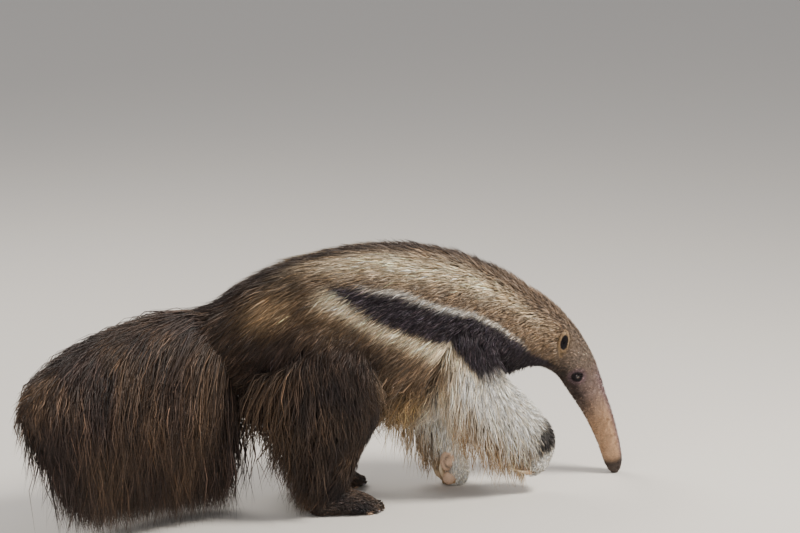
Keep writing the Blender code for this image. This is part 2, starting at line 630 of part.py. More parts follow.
def whole_body(parts, cutters):
    """Returns the whole animal as one closed form with its coat, flat where it meets the floor."""
    forms = [
        loft("spine", with_coat(stations_of(BODY), CORE_SHARE), cutters),
        loft("tail_form", with_coat(stations_of(TAIL), CORE_SHARE), cutters),
        loft("fore_right", with_coat(stations_of(FORELEG_RIGHT), CORE_SHARE), cutters),
        loft("fore_left", with_coat(stations_of(FORELEG_LEFT), CORE_SHARE), cutters),
        loft("hind_right", with_coat(hind_leg(HIND_RIGHT_AXIS), CORE_SHARE), cutters),
        loft("hind_left", with_coat(hind_leg(HIND_LEFT_AXIS), CORE_SHARE), cutters),
        loft("sole_right", foot_rows(HIND_RIGHT_AXIS["ankle"], -1), cutters),
        loft("sole_left", foot_rows(HIND_LEFT_AXIS["ankle"], 1), cutters),
        loft("fringe_fore_right", with_coat(stations_of(FRINGE_FORE_RIGHT), CORE_SHARE), cutters),
        loft("fringe_fore_left", with_coat(stations_of(FRINGE_FORE_LEFT), CORE_SHARE), cutters),
        loft("fringe_hind_left", with_coat(stations_of(FRINGE_HIND), CORE_SHARE), cutters),
        loft("fringe_hind_right", with_coat(stations_of(mirrored(FRINGE_HIND)), CORE_SHARE), cutters),
    ]
    bm = bmesh.new()
    for form in forms:
        bm.from_mesh(form.data)
        remove(form)
    mesh = bpy.data.meshes.new("torso")
    bm.to_mesh(mesh)
    bm.free()
    body = new_object("torso", mesh, parts)
    remesh = body.modifiers.new("Join", "REMESH")
    remesh.mode = "VOXEL"
    remesh.voxel_size = VOXEL
    smooth = body.modifiers.new("Smooth", "SMOOTH")
    smooth.factor = 0.5
    smooth.iterations = SMOOTH_ROUNDS
    apply_modifiers(body)
    keep_largest(body)
    decimate = body.modifiers.new("Coarser", "DECIMATE")
    decimate.ratio = BODY_TRIANGLES / len(body.data.polygons)
    apply_modifiers(body)
    locks = new_collection("locks")
    grow_locks(body, locks)
    fuse_locks(body, locks)
    trim_at_floor(body, cutters)
    return body


def leg_domain(sign, x_range, y_inner, z_top, slant):
    """Returns the centre, size and turn of the box that parts a leg off the body."""
    rotation = Matrix.Rotation(-sign * slant, 3, "X")
    length = x_range[1] - x_range[0]
    corner = Vector(((x_range[0] + x_range[1]) / 2, sign * y_inner, z_top))
    outward = rotation @ Vector((0, sign, 0))
    downward = rotation @ Vector((0, 0, -1))
    width = 0.4
    depth = 0.9
    return corner + outward * width / 2 + downward * depth / 2, (length, width, depth), rotation


def trim_at_floor(obj, cutters):
    """Cuts an object flat at the floor."""
    floor = box("floor", (0, 0, -0.5), (4, 4, 1.0), Matrix.Identity(3), cutters)
    boolean(obj, floor, "DIFFERENCE")
    remove(floor)
    keep_largest(obj)


def build_trunk(parts, cutters):
    """Parts the whole form into torso, neck, tail, legs, hands and feet, and returns them by name."""
    body = whole_body(parts, cutters)
    nodes = {"torso": body}
    for name, cut in LEG_CUTS.items():
        nodes[name] = part_off(body, name, *leg_domain(*cut), parts, cutters)
    remove(part_off(body, "front", *beyond(*HEAD_CUT), parts, cutters))
    for name, (leg, centre, size) in HAND_CUTS.items():
        nodes[name] = part_off(nodes[leg], name, centre, size, Matrix.Identity(3), parts, cutters)
    nodes["neck"] = part_off(body, "neck", *beyond(*NECK_CUT), parts, cutters)
    nodes["tail"] = part_off(body, "tail", *beyond(*TAIL_CUT), parts, cutters)
    return nodes


def add_lids(head, sign, cutters):
    """Joins an oval rim of lids to the head round an eye and hollows the socket behind it."""
    place = Vector((EYE_PLACE[0], sign * EYE_PLACE[1], EYE_PLACE[2]))
    bpy.ops.mesh.primitive_torus_add(major_segments=14, minor_segments=6, major_radius=LID_RADIUS,
                                     minor_radius=LID_THICKNESS)
    rim = bpy.context.active_object
    facing = Matrix.Rotation(math.radians(90), 4, "X")
    tilt = Matrix.Rotation(LID_TILT, 4, "Y")
    stretch = Matrix.Diagonal((1.0, 1.0, 0.80, 1))
    outward = Vector((0, sign * (EYE_RADIUS - LID_THICKNESS), 0))
    rim.data.transform(Matrix.Translation(place + outward) @ tilt @ stretch @ facing)
    boolean(head, rim, "UNION")
    remove(rim)
    socket = sphere("socket", place, EYE_RADIUS + GAP, 18, cutters)
    boolean(head, socket, "DIFFERENCE")
    remove(socket)
    keep_largest(head)


def ear(name, head, sign, parts, cutters):
    """Returns a narrow upright ear with a hollow cup facing outward, set against the head."""
    root = Vector((EAR_ROOT[0], sign * EAR_ROOT[1], EAR_ROOT[2]))
    lean = Vector((EAR_LEAN[0], sign * EAR_LEAN[1], EAR_LEAN[2])).normalized()
    across = Vector((1, 0, 0))
    across = (across - across.project(lean)).normalized()
    facing = lean.cross(across)
    turn = Matrix((across, facing, lean)).transposed()
    centre = root + lean * EAR_LENGTH * 0.42
    leaf = sphere(name, centre, 0.5, 14, parts, (EAR_WIDTH, EAR_THICKNESS, EAR_LENGTH), turn)
    outward = facing if facing.y * sign > 0 else -facing
    cup_centre = centre + outward * EAR_THICKNESS * 0.42 + lean * EAR_LENGTH * 0.08
    cup = sphere("cup", cup_centre, 0.5, 12, cutters,
                 (EAR_WIDTH * 0.60, EAR_THICKNESS * 0.95, EAR_LENGTH * 0.62), turn)
    boolean(leaf, cup, "DIFFERENCE")
    remove(cup)
    skull = grown_copy(head, GAP, cutters)
    boolean(leaf, skull, "DIFFERENCE")
    remove(skull)
    keep_largest(leaf)
    return leaf


def shape_snout_tip(snout, cutters):
    """Cuts the mouth line between the lips and the two nostrils into the snout."""
    turn = Matrix.Rotation(MOUTH_PITCH, 3, "Y")
    slit = box("slit", MOUTH_PLACE, (2 * MOUTH_LENGTH, 0.08, MOUTH_SLIT), turn, cutters)
    boolean(snout, slit, "DIFFERENCE")
    remove(slit)
    for sign in (-1, 1):
        place = (NOSTRIL_PLACE[0], sign * NOSTRIL_PLACE[1], NOSTRIL_PLACE[2])
        hole = sphere("nostril", place, NOSTRIL_RADIUS, 10, cutters, (0.9, 0.8, 1.5))
        boolean(snout, hole, "DIFFERENCE")
        remove(hole)
    keep_largest(snout)


def build_head(parts, cutters):
    """Builds head, snout, ears and eyes, and returns them by name."""
    form = loft("head_form", with_coat(stations_of(BODY), CORE_SHARE), cutters, HEAD_SIDES, HEAD_STEPS)
    trim_at_floor(form, cutters)
    head = part_off(form, "head", *beyond(*HEAD_CUT), parts, cutters)
    remove(form)
    snout = part_off(head, "snout", *beyond(*SNOUT_CUT), parts, cutters)
    shape_snout_tip(snout, cutters)
    nodes = {"head": head, "snout": snout}
    for side, sign in (("left", 1), ("right", -1)):
        nodes["ear_" + side] = ear("ear_" + side, head, sign, parts, cutters)
    for side, sign in (("left", 1), ("right", -1)):
        add_lids(head, sign, cutters)
        place = (EYE_PLACE[0], sign * EYE_PLACE[1], EYE_PLACE[2])
        nodes["eye_" + side] = sphere("eye_" + side, place, EYE_RADIUS, 14, parts)
    return nodes


def seat(piece, host, cutters):
    """Cuts away what of a piece lies inside its host, with the thin gap between them."""
    inside = grown_copy(host, GAP, cutters)
    boolean(piece, inside, "DIFFERENCE")
    remove(inside)
    keep_largest(piece)


def build_claws(trunk, parts, cutters):
    """Builds the claws of both hands and both feet, seated against them, and returns them by name."""
    nodes = {}
    for side, sign in (("right", -1), ("left", 1)):
        for digit, (radius, length, across, back) in HAND_CLAWS.items():
            name = "claw_hand_" + side + "_" + digit
            root = Vector(HAND_CLAW_ROOTS[side]) + Vector((-back, sign * across, 0))
            nodes[name] = claw(name, root, (-1, 0, 0), (0, 0, 1), length, radius, HAND_CLAW_SWEEPS[side],
                               parts)
            seat(nodes[name], trunk["hand_" + side], cutters)
            seat(nodes[name], trunk["foreleg_" + side], cutters)
    for side, sign, axis in (("right", -1, HIND_RIGHT_AXIS), ("left", 1, HIND_LEFT_AXIS)):
        turn = Matrix.Rotation(sign * FOOT_TURN, 3, "Z")
        for k, (digit, length) in enumerate(FOOT_CLAWS.items()):
            spread = k - 2
            ahead = FOOT["toe_end"][0][0] - 0.012 - 0.004 * abs(spread)
            root = turn @ Vector((ahead, sign * spread * TOE_SPREAD, 0.0125))
            root += Vector((axis["ankle"][0], axis["ankle"][1], 0))
            heading = turn @ Vector((1, sign * spread * 0.08, -0.05))
            name = "claw_foot_" + side + "_" + digit
            nodes[name] = claw(name, root, heading, (0, 0, -1), length, FOOT_CLAW_RADIUS,
                               FOOT_CLAW_SWEEP, parts)
            seat(nodes[name], trunk["foot_" + side], cutters)
    return nodes


def finish_of(name):
    """Returns the name of the finish that a node wears."""
    if name.startswith("claw"):
        return "claw"
    if name.startswith("eye"):
        return "eye"
    if name.startswith("tail") or name.startswith("hind") or name.startswith("foot"):
        return "coat_dark"
    if name.startswith("fore") or name == "hand_right":
        return "coat_pale"
    if name == "snout":
        return "snout_skin"
    if name == "hand_left":
        return "pad_skin"
    return "coat_grizzled"


def centre_on_floor(objects):
    """Moves all meshes so that the origin is on the floor under the middle of the animal's box."""
    places = np.array([vert.co for obj in objects for vert in obj.data.vertices])
    middle = (places.min(axis=0) + places.max(axis=0)) / 2
    shift = Matrix.Translation((-middle[0], -middle[1], 0))
    for obj in objects:
        obj.data.transform(shift)


def main():
    """Builds the animal."""
    clear_scene()
    parts = new_collection("giant_anteater")
    cutters = new_collection("cutters")
    nodes = build_trunk(parts, cutters)
    nodes.update(build_claws(nodes, parts, cutters))
    nodes.update(build_head(parts, cutters))
    for name in ("ear_left", "ear_right"):
        seat(nodes[name], nodes["neck"], cutters)
    for name, obj in nodes.items():
        obj.data.materials.clear()
        obj.data.materials.append(material(finish_of(name)))
    centre_on_floor(list(nodes.values()))


main()
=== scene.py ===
"""Giant anteater, life size, pausing with its nose lowered to the floor.

The animal faces +X, its left is +Y and the floor is the plane z = 0. One skin is lofted along named
stations, a coat of tapered tufts is rooted in it, and eyes, claws and pads are pieces of their own.
"""
from __future__ import annotations

import logging
import math
from dataclasses import dataclass, field
from enum import Enum

import bmesh
import bpy
import numpy as np
from mathutils import Matrix, Vector
from numpy.typing import NDArray


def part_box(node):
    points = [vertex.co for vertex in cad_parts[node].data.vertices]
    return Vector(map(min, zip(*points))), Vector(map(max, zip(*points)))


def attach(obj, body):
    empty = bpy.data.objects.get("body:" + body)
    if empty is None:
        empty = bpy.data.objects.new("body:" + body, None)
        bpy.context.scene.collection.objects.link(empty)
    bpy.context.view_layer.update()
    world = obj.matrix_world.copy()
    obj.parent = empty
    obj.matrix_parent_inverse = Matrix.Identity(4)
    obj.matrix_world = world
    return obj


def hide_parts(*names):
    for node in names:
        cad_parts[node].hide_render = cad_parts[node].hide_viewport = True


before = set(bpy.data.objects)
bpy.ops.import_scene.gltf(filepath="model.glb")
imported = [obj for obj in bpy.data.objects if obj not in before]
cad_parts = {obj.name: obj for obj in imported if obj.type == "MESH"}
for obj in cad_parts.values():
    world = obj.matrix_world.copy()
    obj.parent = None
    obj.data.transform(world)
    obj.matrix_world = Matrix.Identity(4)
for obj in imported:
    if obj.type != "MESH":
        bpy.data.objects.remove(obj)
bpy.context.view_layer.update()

Floats = NDArray[np.float64]
Ints = NDArray[np.int64]
Triple = tuple[float, float, float]
Curve = tuple[tuple[float, float], ...]

LOG = logging.getLogger("anteater")
ATTRIBUTE = "coat_colour"
BARE = "bare"
BAKE_MAP = "OFBake"
PATCH = 0.003
FLOOR_GAP = 0.0004
BODY_NAME = "root"

EYE_PLACE = (0.612, 0.0352, 0.262)
EYE_RADIUS = 0.0085
SOCKET_GAP = 0.0002
LID_HALF_LENGTH = 0.0086
LID_HALF_HEIGHT = 0.0062
LID_SECTION = 0.0032
NOSTRIL_PLACE = (0.7305, 0.0165, 0.0150)
NOSTRIL_REACH = (0.0036, 0.0034, 0.0056)
MOUTH_TIP = (0.7165, 0, 0.0)
EAR_ROOT = (0.562, 0.056, 0.328)
EAR_LEAN = (0.05, 0.30, 1.0)
EAR_LENGTH = 0.064
EAR_WIDTH = 0.030
EAR_THICKNESS = 0.015


class Slot(Enum):
    """The record's material slots."""

    GRIZZLED = "coat_grizzled"
    DARK = "coat_dark"
    PALE = "coat_pale"
    SNOUT = "snout_skin"
    PAD = "pad_skin"
    CLAW = "claw"
    EYE = "eye"


class Side(Enum):
    """The animal's two sides, each with the sign of its y."""

    RIGHT = -1
    LEFT = 1

    @property
    def word(self) -> str:
        """Returns the side's name as pieces and nodes spell it."""
        return self.name.lower()


@dataclass(frozen=True)
class Station:
    """A place on an axis with the flesh's and the coat's reach up, down and to each side."""

    place: Triple
    flesh: Triple
    coat: Triple = (0.0, 0.0, 0.0)


def stations(*rows: tuple[Triple, ...]) -> tuple[Station, ...]:
    """Returns stations from plain rows of place, flesh and coat."""
    return tuple(Station(*row) for row in rows)


BODY = stations(
    ((-0.275, 0, 0.400), (0.050, 0.040, 0.040), (0.050, 0.030, 0.040)),
    ((-0.215, 0, 0.410), (0.092, 0.090, 0.080), (0.050, 0.030, 0.035)),
    ((-0.110, 0, 0.425), (0.122, 0.125, 0.110), (0.047, 0.035, 0.030)),
    ((0.000, 0, 0.435), (0.140, 0.140, 0.120), (0.045, 0.035, 0.028)),
    ((0.110, 0, 0.430), (0.155, 0.150, 0.128), (0.042, 0.040, 0.028)),
    ((0.210, 0, 0.415), (0.157, 0.150, 0.128), (0.042, 0.045, 0.025)),
    ((0.300, 0, 0.405), (0.148, 0.135, 0.118), (0.042, 0.035, 0.022)),
    ((0.385, 0, 0.397), (0.119, 0.108, 0.100), (0.038, 0.020, 0.018)),
    ((0.460, 0, 0.382), (0.093, 0.085, 0.080), (0.031, 0.012, 0.014)),
    ((0.525, 0, 0.362), (0.071, 0.066, 0.066), (0.022, 0.006, 0.009)),
    ((0.577, 0, 0.330), (0.057, 0.056, 0.057), (0.009, 0.005, 0.006)),
    ((0.615, 0, 0.288), (0.048, 0.046, 0.047), (0.003, 0.003, 0.003)),
    ((0.640, 0, 0.243), (0.043, 0.041, 0.040), (0.002, 0.002, 0.002)),
    ((0.665, 0, 0.193), (0.035, 0.034, 0.034), (0.001, 0.001, 0.001)),
    ((0.690, 0, 0.140), (0.030, 0.029, 0.028), (0.001, 0.001, 0.001)),
    ((0.710, 0, 0.085), (0.026, 0.025, 0.024)),
    ((0.7235, 0, 0.037), (0.0220, 0.0215, 0.0210)),
    ((0.7285, 0, 0.012), (0.0165, 0.0165, 0.0160)),
    ((0.7300, 0, -0.002), (0.0060, 0.0060, 0.0060)),
)
HEAD_START = 10
FACE_START = 12
TAIL = stations(
    ((-0.790, -0.225, 0.352), (0.005, 0.005, 0.005), (0.010, 0.020, 0.004)),
    ((-0.750, -0.200, 0.370), (0.012, 0.012, 0.010), (0.020, 0.040, 0.012)),
    ((-0.680, -0.150, 0.388), (0.018, 0.018, 0.018), (0.034, 0.060, 0.022)),
    ((-0.590, -0.095, 0.400), (0.026, 0.026, 0.026), (0.042, 0.070, 0.028)),
    ((-0.480, -0.045, 0.408), (0.034, 0.034, 0.034), (0.046, 0.080, 0.030)),
    ((-0.370, -0.012, 0.410), (0.042, 0.042, 0.042), (0.050, 0.080, 0.030)),
    ((-0.280, 0, 0.408), (0.052, 0.050, 0.050), (0.062, 0.080, 0.030)),
    ((-0.200, 0, 0.405), (0.050, 0.060, 0.050), (0.060, 0.060, 0.030)),
)
FORELEG_RIGHT = stations(
    ((0.285, -0.085, 0.400), (0.070, 0.070, 0.050), (0.010, 0.010, 0.010)),
    ((0.305, -0.103, 0.320), (0.065, 0.062, 0.048), (0.012, 0.020, 0.014)),
    ((0.347, -0.108, 0.248), (0.060, 0.055, 0.045), (0.014, 0.030, 0.014)),
    ((0.415, -0.103, 0.192), (0.048, 0.044, 0.042), (0.018, 0.030, 0.014)),
    ((0.480, -0.093, 0.137), (0.036, 0.034, 0.036), (0.012, 0.020, 0.010)),
    ((0.492, -0.090, 0.104), (0.030, 0.032, 0.036), (0.006, 0.010, 0.006)),
    ((0.482, -0.088, 0.070), (0.024, 0.032, 0.035), (0.004, 0.006, 0.005)),
    ((0.472, -0.088, 0.052), (0.012, 0.020, 0.022), (0.002, 0.004, 0.003)),
)
FORELEG_LEFT = stations(
    ((0.285, 0.085, 0.400), (0.070, 0.070, 0.050), (0.010, 0.010, 0.010)),
    ((0.272, 0.104, 0.320), (0.062, 0.062, 0.048), (0.012, 0.020, 0.014)),
    ((0.262, 0.103, 0.248), (0.056, 0.055, 0.045), (0.014, 0.030, 0.014)),
    ((0.285, 0.080, 0.180), (0.046, 0.044, 0.042), (0.014, 0.030, 0.014)),
    ((0.307, 0.058, 0.112), (0.034, 0.030, 0.034), (0.008, 0.010, 0.006)),
    ((0.316, 0.048, 0.068), (0.036, 0.026, 0.031), (0.004, 0.003, 0.004)),
    ((0.322, 0.043, 0.026), (0.038, 0.029, 0.033), (0.003, 0.003, 0.003)),
    ((0.324, 0.041, -0.004), (0.026, 0.022, 0.022), (0.001, 0.001, 0.001)),
)
HIND_REACH = (
    ((0.095, 0.095, 0.055), (0.010, 0.010, 0.020)),
    ((0.088, 0.090, 0.055), (0.018, 0.030, 0.024)),
    ((0.062, 0.068, 0.050), (0.018, 0.045, 0.022)),
    ((0.044, 0.046, 0.040), (0.016, 0.045, 0.018)),
    ((0.036, 0.040, 0.034), (0.010, 0.020, 0.010)),
    ((0.026, 0.030, 0.026), (0.004, 0.006, 0.004)),
)
HIND_AXES = {
    Side.RIGHT: ((-0.095, -0.085, 0.395), (-0.052, -0.108, 0.330), (0.000, -0.113, 0.255),
                 (-0.022, -0.107, 0.165), (-0.036, -0.100, 0.078), (-0.034, -0.099, 0.040)),
    Side.LEFT: ((-0.095, 0.085, 0.395), (-0.034, 0.108, 0.330), (0.032, 0.113, 0.255),
                (0.012, 0.107, 0.165), (-0.002, 0.100, 0.078), (0.000, 0.099, 0.040)),
}
ANKLE = 4
FOOT = (
    ((-0.048, 0, 0.022), (0.014, 0.020, 0.014)),
    ((-0.034, 0, 0.024), (0.024, 0.028, 0.027)),
    ((0.010, 0, 0.030), (0.034, 0.034, 0.034)),
    ((0.060, 0, 0.022), (0.025, 0.026, 0.040)),
    ((0.096, 0, 0.014), (0.016, 0.017, 0.038)),
    ((0.110, 0, 0.010), (0.007, 0.009, 0.026)),
)
FOOT_TURN = math.radians(6)
TOE_SPREAD = 0.0145
TOE_CURVE = 0.004


def tone(red: int, green: int, blue: int) -> Floats:
    """Returns a display colour as linear light, by the usual display curve."""
    c = np.array([red, green, blue]) / 255.0
    return np.where(c <= 0.04045, c / 12.92, ((c + 0.055) / 1.055) ** 2.4)


def smoothstep(low: float, high: float, value: Floats) -> Floats:
    """Returns 0 below low, 1 above high and a soft cubic rise between."""
    t = np.clip((value - low) / (high - low), 0.0, 1.0)
    return t * t * (3 - 2 * t)


def unit(vectors: Floats) -> Floats:
    """Returns the vectors scaled to length one."""
    return vectors / np.maximum(np.linalg.norm(vectors, axis=-1, keepdims=True), 1e-9)


def dots(first: Floats, second: Floats) -> Floats:
    """Returns the dot products of two rows of vectors, as a column."""
    return (first * second).sum(axis=-1, keepdims=True)


def along(curve: Curve, value: Floats) -> Floats:
    """Returns a named curve's height at each value, straight between its points."""
    places, heights = np.array(curve).T
    return np.interp(value, places, heights)


def mixed(first: Floats, second: Floats, share: Floats) -> Floats:
    """Returns a row of colour for each share, from first to second, each one colour or a row for each."""
    return first + (second - first) * share[:, None]


def through_points(rows: Floats, steps: int) -> Floats:
    """Returns points on the smooth curve through rows, by the Catmull-Rom rule.

    Args:
        rows: The rows to pass through.
        steps: The number of points for each stretch between two rows.

    Returns:
        The finer rows, with the last row at the end.
    """
    padded = np.vstack([2 * rows[0] - rows[1], rows, 2 * rows[-1] - rows[-2]])
    a, b, c, d = (padded[i:len(padded) - 3 + i, None] for i in range(4))
    t = np.linspace(0, 1, steps, endpoint=False)[None, :, None]
    fine = 0.5 * (2 * b + (c - a) * t + (2 * a - 5 * b + 4 * c - d) * t ** 2
                  + (3 * b - a - 3 * c + d) * t ** 3)
    return np.vstack([fine.reshape(-1, rows.shape[1]), rows[-1]])


def foot_frame(side: Side) -> tuple[Floats, Floats]:
    """Returns the matrix that turns a foot outward and the place on the floor under its ankle."""
    turn = side.value * FOOT_TURN
    matrix = np.array([[math.cos(turn), -math.sin(turn), 0], [math.sin(turn), math.cos(turn), 0], [0, 0, 1]])
    return matrix, np.array(HIND_AXES[side][ANKLE]) * (1, 1, 0)


class Axis:
    """A run of stations as fine samples, each with a centre, a reach and a frame of directions."""

    def __init__(self, name: str, rows: tuple[Station, ...], share: float, steps: int) -> None:
        """Samples the axis.

        Args:
            name: The axis's name.
            rows: Its stations.
            share: The share of the coat's reach that is added to the flesh's.
            steps: Samples for each stretch between two stations.
        """
        table = np.array([[*row.place, *np.add(row.flesh, np.multiply(share, row.coat)),
                           *np.multiply(1 - share, row.coat)] for row in rows])
        fine = through_points(table, steps)
        self.name = name
        self.centre = fine[:, :3]
        self.reach = np.maximum(fine[:, 3:6], 0.001)
        self.cover = np.maximum(fine[:, 6:], 0.0)
        self.station = np.linspace(0, len(rows) - 1, len(fine))
        self.tangent = unit(np.gradient(self.centre, axis=0))
        across = np.array([0.0, 1.0, 0.0])
        self.side = unit(across - self.tangent[:, 1:2] * self.tangent)
        self.up = np.cross(self.tangent, self.side)
        steps_taken = np.linalg.norm(np.diff(self.centre, axis=0), axis=1)
        self.travel = np.concatenate([[0.0], np.cumsum(steps_taken)]) / steps_taken.sum()

    def rings(self, sides: int, first: int = 0, last: int | None = None) -> Floats:
        """Returns oval rings round the axis.

        Each point is the centre plus up times its reach times the angle's cosine plus side times its
        reach times the sine, with one reach above and another below.
        """
        angles = np.linspace(0, math.tau, sides, endpoint=False)[None, :, None]
        rows = slice(first, last)
        lift = np.where(np.cos(angles) > 0, self.reach[rows, None, 0:1], self.reach[rows, None, 1:2])
        upward = self.up[rows, None] * lift * np.cos(angles)
        sideways = self.side[rows, None] * self.reach[rows, None, 2:3] * np.sin(angles)
        return self.centre[rows, None] + upward + sideways


@dataclass
class Spots:
    """Where points lie beside the animal: the nearest axis, the station and angle on it, the depth, and
    how thick the coat is there.
    """

    axis: Ints
    station: Floats
    travel: Floats
    angle: Floats
    depth: Floats
    cover: Floats
    tangent: Floats
    up: Floats
    side: Floats

    def pick(self, rows: NDArray) -> "Spots":
        """Returns the spots of some rows."""
        return Spots(*(value[rows] for value in self.__dict__.values()))


class Flesh:
    """All axes together, as a field of distance from the flesh."""

    CHUNK = 30000
    CELL = 0.012
    LOW = np.array([-0.90, -0.42, -0.05])
    HIGH = np.array([0.82, 0.36, 0.68])

    def __init__(self, axes: list[Axis]) -> None:
        """Keeps the axes and works the field out on a grid."""
        self.axes = axes
        self.numbers = {axis.name: i for i, axis in enumerate(axes)}
        self.shape = np.ceil((self.HIGH - self.LOW) / self.CELL).astype(int) + 1
        lines = [low + self.CELL * np.arange(n) for low, n in zip(self.LOW, self.shape)]
        nodes = np.stack(np.meshgrid(*lines, indexing="ij"), axis=-1)
        depth = self.locate(nodes.reshape(-1, 3)).depth.reshape(self.shape)
        slope = np.stack(np.gradient(depth, self.CELL), axis=-1)
        self.field = np.concatenate([depth[..., None], slope], axis=-1)

    def locate(self, points: Floats) -> Spots:
        """Returns the spot of each point: on every axis the nearest sample, then the least depth of all.

        The depth is the distance from the sample's oval, measured along the line to its centre.
        """
        parts = [self._locate(points[i:i + self.CHUNK]) for i in range(0, len(points), self.CHUNK)]
        columns = zip(*(part.__dict__.values() for part in parts))
        return Spots(*(np.concatenate(column) for column in columns))

    def _locate(self, points: Floats) -> Spots:
        """Returns the spots of one chunk of points."""
        best: Spots | None = None
        for number, axis in enumerate(self.axes):
            square = (axis.centre ** 2).sum(axis=1) - 2 * points @ axis.centre.T
            near = square.argmin(axis=1)
            offset = points - axis.centre[near]
            reach = axis.reach[near]
            a = dots(offset, axis.up[near])[:, 0]
            b = dots(offset, axis.side[near])[:, 0]
            ahead = dots(offset, axis.tangent[near])[:, 0]
            ends = (near == 0) & (ahead < 0) | (near == len(axis.centre) - 1) & (ahead > 0)
            lift = np.where(a > 0, reach[:, 0], reach[:, 1])
            past = np.where(ends, ahead, 0.0)
            size = np.sqrt(a * a + b * b + past * past)
            scaled = np.sqrt((a / lift) ** 2 + (b / reach[:, 2]) ** 2 + (past / reach.min(axis=1)) ** 2)
            depth = (scaled - 1) * size / np.maximum(scaled, 1e-6)
            depth = np.where(scaled < 1e-6, -reach.min(axis=1), depth)
            angle = np.arctan2(b / reach[:, 2], a / lift)
            thick = axis.cover[near]
            level = np.cos(angle) ** 2
            cover = np.where(a > 0, thick[:, 0], thick[:, 1]) * level + thick[:, 2] * (1 - level)
            found = Spots(np.full(len(points), number), axis.station[near], axis.travel[near], angle, depth,
                          cover, axis.tangent[near], axis.up[near], axis.side[near])
            if best is None:
                best = found
                continue
            closer = found.depth < best.depth
            best = Spots(*(np.where(closer[:, None] if old.ndim == 2 else closer, new, old)
                           for new, old in zip(found.__dict__.values(), best.__dict__.values())))
        return best

    def read(self, points: Floats) -> tuple[Floats, Floats]:
        """Returns the depth and the outward direction at points: the weighted mean of a cell's corners."""
        place = np.clip((points - self.LOW) / self.CELL, 0, self.shape - 1.001)
        base = place.astype(int)
        share = place - base
        value = np.zeros((len(points), 4))
        for corner in np.ndindex(2, 2, 2):
            weight = np.prod(np.where(np.array(corner) == 1, share, 1 - share), axis=1)
            i, j, k = (base + np.array(corner)).T
            value += self.field[i, j, k] * weight[:, None]
        return value[:, 0], unit(value[:, 1:])


def tube_mesh(rings: Floats) -> tuple[Floats, list[list[int]]]:
    """Returns a closed tube's vertices and faces: quads between rings and a fan to a pole at each end."""
    count, sides = rings.shape[:2]
    points = np.vstack([rings.reshape(-1, 3), rings[0].mean(axis=0), rings[-1].mean(axis=0)])
    ring = np.arange(sides)
    after = (ring + 1) % sides
    start = (np.arange(count - 1) * sides)[:, None]
    quads = np.stack([start + ring, start + after, start + sides + after, start + sides + ring], axis=-1)
    first = np.stack([np.full(sides, count * sides), after, ring], axis=-1)
    last = np.stack([np.full(sides, count * sides + 1), (count - 1) * sides + ring,
                     (count - 1) * sides + after], axis=-1)
    return points, quads.reshape(-1, 4).tolist() + first.tolist() + last.tolist()


def in_scene(name: str, mesh: bpy.types.Mesh) -> bpy.types.Object:
    """Returns a new object in the scene that holds a mesh."""
    obj = bpy.data.objects.new(name, mesh)
    bpy.context.scene.collection.objects.link(obj)
    return obj


def plain_object(name: str, points: Floats, faces: list[list[int]]) -> bpy.types.Object:
    """Returns a new object in the scene from points and faces, its faces outward."""
    mesh = bpy.data.meshes.new(name)
    mesh.from_pydata(points.tolist(), [], faces)
    bm = bmesh.new()
    bm.from_mesh(mesh)
    bmesh.ops.recalc_face_normals(bm, faces=bm.faces)
    bm.to_mesh(mesh)
    bm.free()
    return in_scene(name, mesh)


def triangle_object(name: str, points: Floats, triangles: Ints) -> bpy.types.Object:
    """Returns a new object made straight from arrays of points and triangles."""
    mesh = bpy.data.meshes.new(name)
    mesh.vertices.add(len(points))
    mesh.vertices.foreach_set("co", points.ravel())
    mesh.loops.add(triangles.size)
    mesh.loops.foreach_set("vertex_index", triangles.ravel())
    mesh.polygons.add(len(triangles))
    mesh.polygons.foreach_set("loop_start", np.arange(len(triangles)) * 3)
    mesh.update(calc_edges=True)
    return in_scene(name, mesh)


def drop(obj: bpy.types.Object) -> None:
    """Removes an object and its mesh."""
    mesh = obj.data
    bpy.data.objects.remove(obj, do_unlink=True)
    bpy.data.meshes.remove(mesh)


def settle(obj: bpy.types.Object) -> None:
    """Puts the result of an object's modifiers into its mesh."""
    bpy.context.view_layer.update()
    graph = bpy.context.evaluated_depsgraph_get()
    mesh = bpy.data.meshes.new_from_object(obj.evaluated_get(graph))
    obj.modifiers.clear()
    old = obj.data
    obj.data = mesh
    bpy.data.meshes.remove(old)


def combine(obj: bpy.types.Object, other: bpy.types.Object, operation: str) -> None:
    """Joins another closed form to an object or cuts it away, and removes that form."""
    modifier = obj.modifiers.new(operation.title(), "BOOLEAN")
    modifier.object = other
    modifier.operation = operation
    modifier.solver = "MANIFOLD"
    settle(obj)
    drop(other)


def joined(name: str, forms: list[bpy.types.Object]) -> bpy.types.Object:
    """Returns one new object that holds the meshes of several forms, which are removed."""
    bm = bmesh.new()
    for form in forms:
        bm.from_mesh(form.data)
        drop(form)
    mesh = bpy.data.meshes.new(name)
    bm.to_mesh(mesh)
    bm.free()
    return in_scene(name, mesh)


def remeshed(name: str, forms: list[bpy.types.Object], voxel: float, rounds: int) -> bpy.types.Object:
    """Returns several closed forms joined as one smooth skin.

    Args:
        name: The new object's name.
        forms: The forms, which are removed.
        voxel: The size of the mesh's cells.
        rounds: Rounds of smoothing.
    """
    obj = joined(name, forms)
    join = obj.modifiers.new("Join", "REMESH")
    join.mode = "VOXEL"
    join.voxel_size = voxel
    smooth = obj.modifiers.new("Smooth", "SMOOTH")
    smooth.factor = 0.5
    smooth.iterations = rounds
    settle(obj)
    return obj


def vertex_rows(mesh: bpy.types.Mesh, name: str) -> Floats:
    """Returns one of the mesh's three-part vertex values, named as Blender names it."""
    values = np.empty(len(mesh.vertices) * 3)
    mesh.vertices.foreach_get(name, values)
    return values.reshape(-1, 3)


